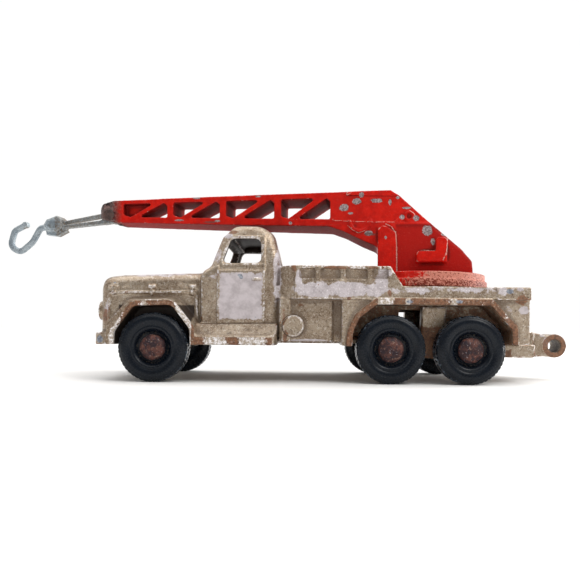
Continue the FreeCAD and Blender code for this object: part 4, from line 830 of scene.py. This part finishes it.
AX = {}
for axle in ("front", "middle", "rear"):
    lo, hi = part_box(axle + "_axle")
    AX[axle] = ((lo.x + hi.x) / 2, (lo.z + hi.z) / 2)
    for side in ("left", "right"):
        wheel(axle, side, AX[axle][0])
    # axle pin with its two riveted heads
    out = hi.y / MM
    half = [(0.0, out - 0.02), (0.35, out - 0.01), (0.80, out - 0.07), (1.15, out - 0.19), (1.42, out - 0.33), (1.60, out - 0.50), (1.68, out - 0.66), (1.69, out - 0.80), (1.60, out - 0.93), (1.40, out - 0.96), (0.75, out - 0.96)]
    prof = half + [(0.75, y) for y in np.linspace(out - 1.4, -(out - 1.4), 24)] + [(r, -y) for r, y in half[::-1]]
    cx, cz = AX[axle]
    seed = {"front": 1.0, "middle": 2.0, "rear": 3.0}[axle]

    def radial(Rr, Y, A, seed=seed):
        head = np.abs(Y) > out - 1.2
        lump = 0.035 * np.sin(A * 5 + seed) + 0.03 * np.sin(A * 9 + 2.3 * seed) + 0.02 * np.sin(A * 14 + 4.1 * seed)
        return lump * head * (Rr > 1.0) * np.minimum(1, (1.74 - Rr) * 4 + 0.3)

    def sag(co, seed=seed, cx=cx, cz=cz):
        head = np.abs(co[:, 1]) / MM > out - 1.2
        bump = fractal(co * head[:, None] + np.array([0, seed * 0.01, 0]), 0.9, 3, seed)
        r = np.hypot(co[:, 0] - cx, co[:, 2] - cz) / MM
        dy = (-0.10 * (0.5 + 0.5 * bump) - 0.05 * np.clip(0.9 - r, 0, 1)) * head * np.clip((np.abs(co[:, 1]) / MM - (out - 0.9)) / 0.4, 0, 1)
        co = co.copy()
        co[:, 1] += np.sign(co[:, 1]) * dy * MM
        return co

    ax = turned(axle + "_axle_pin_steel", prof, cx, cz, 96, axle + "_axle_pin", [axle + "_axle"], radial, sag)
    paint(ax, M_RUST)

for node, mat in (("base_rivet_front", M_RIVET), ("base_rivet_rear", M_RIVET), ("turntable_rivet", M_RIVET), ("pivot_washer", M_RIVET), ("hook_pin", M_PIN)):
    ob = frame["nodes"][node]
    for s in ob.material_slots:
        s.material = mat

# ---------------------------------------------------------------- stage
bpy.ops.mesh.primitive_plane_add(size=3.0, location=(0, 0, 0))
floor = bpy.context.object
floor.name = "floor"
fm = bpy.data.materials.new("floor_pale")
fm.use_nodes = True
fb = fm.node_tree.nodes["Principled BSDF"]
fb.inputs["Base Color"].default_value = (0.80, 0.797, 0.79, 1)
fb.inputs["Roughness"].default_value = 0.85
fb.inputs["Specular IOR Level"].default_value = 0.1
floor.data.materials.append(fm)

world = bpy.data.worlds.new("studio")
scene.world = world
world.use_nodes = True
bg = world.node_tree.nodes["Background"]
wt = world.node_tree
wc = wt.nodes.new("ShaderNodeTexCoord")
ws = wt.nodes.new("ShaderNodeSeparateXYZ")
wt.links.new(wc.outputs["Generated"], ws.inputs[0])


def sky_ramp(axis, lo, hi, a, b):
    n = wt.nodes.new("ShaderNodeMapRange")
    n.interpolation_type = "SMOOTHSTEP"
    wt.links.new(ws.outputs[axis], n.inputs[0])
    for i, v in enumerate((lo, hi, a, b)):
        n.inputs[i + 1].default_value = v
    return n.outputs[0]


def sky_sum(a, b):
    n = wt.nodes.new("ShaderNodeMath")
    n.operation = "ADD"
    wt.links.new(a, n.inputs[0])
    wt.links.new(b, n.inputs[1])
    return n.outputs[0]


# a white paper sweep behind and a window overhead, a dimmer room in front
level = sky_sum(sky_ramp(1, -0.15, 0.50, 1.02, 0.30), sky_ramp(2, 0.55, 0.95, 0.0, 1.5))
level = sky_sum(level, sky_ramp(0, -0.95, -0.45, 0.30, 0.0))
wt.links.new(level, bg.inputs[1])
bg.inputs[0].default_value = (1.0, 0.992, 0.985, 1)


def area(name, loc, target, size, power, color=(1, 1, 1)):
    l = bpy.data.lights.new(name, "AREA")
    l.shape = "RECTANGLE"
    l.size, l.size_y = size
    l.energy = power
    l.color = color
    o = bpy.data.objects.new(name, l)
    o.location = loc
    o.rotation_euler = (Vector(target) - Vector(loc)).to_track_quat("-Z", "Y").to_euler()
    scene.collection.objects.link(o)
    return o


area("window", (-0.16, 0.14, 0.20), (0, 0, 0.012), (0.12, 0.12), 0.26, (1.0, 0.985, 0.96))
area("side_window", (-0.25, -0.075, 0.05), (0, 0, 0.012), (0.07, 0.15), 0.55, (1.0, 0.99, 0.98))

cam = bpy.data.cameras.new("camera")
cam.lens = 590.0 / 580.0 * 36.0
cam.sensor_width = 36.0
cam.clip_start = 0.002
cam.clip_end = 10.0
cam.shift_x = -10.0 / 580.0
cam.shift_y = 39.0 / 580.0
cam.dof.use_dof = False
camera = bpy.data.objects.new("camera", cam)
scene.collection.objects.link(camera)
view = Matrix.Rotation(math.radians(180), 4, "Z") @ Matrix.Rotation(math.radians(90), 4, "X") @ Matrix.Rotation(math.radians(0.6), 4, "Z")
camera.matrix_world = Matrix.Translation((-2.24 * MM + SHIFT, 88.1 * MM, 7.15 * MM)) @ view
scene.camera = camera

scene.view_settings.view_transform = "Standard"
scene.view_settings.look = "None"
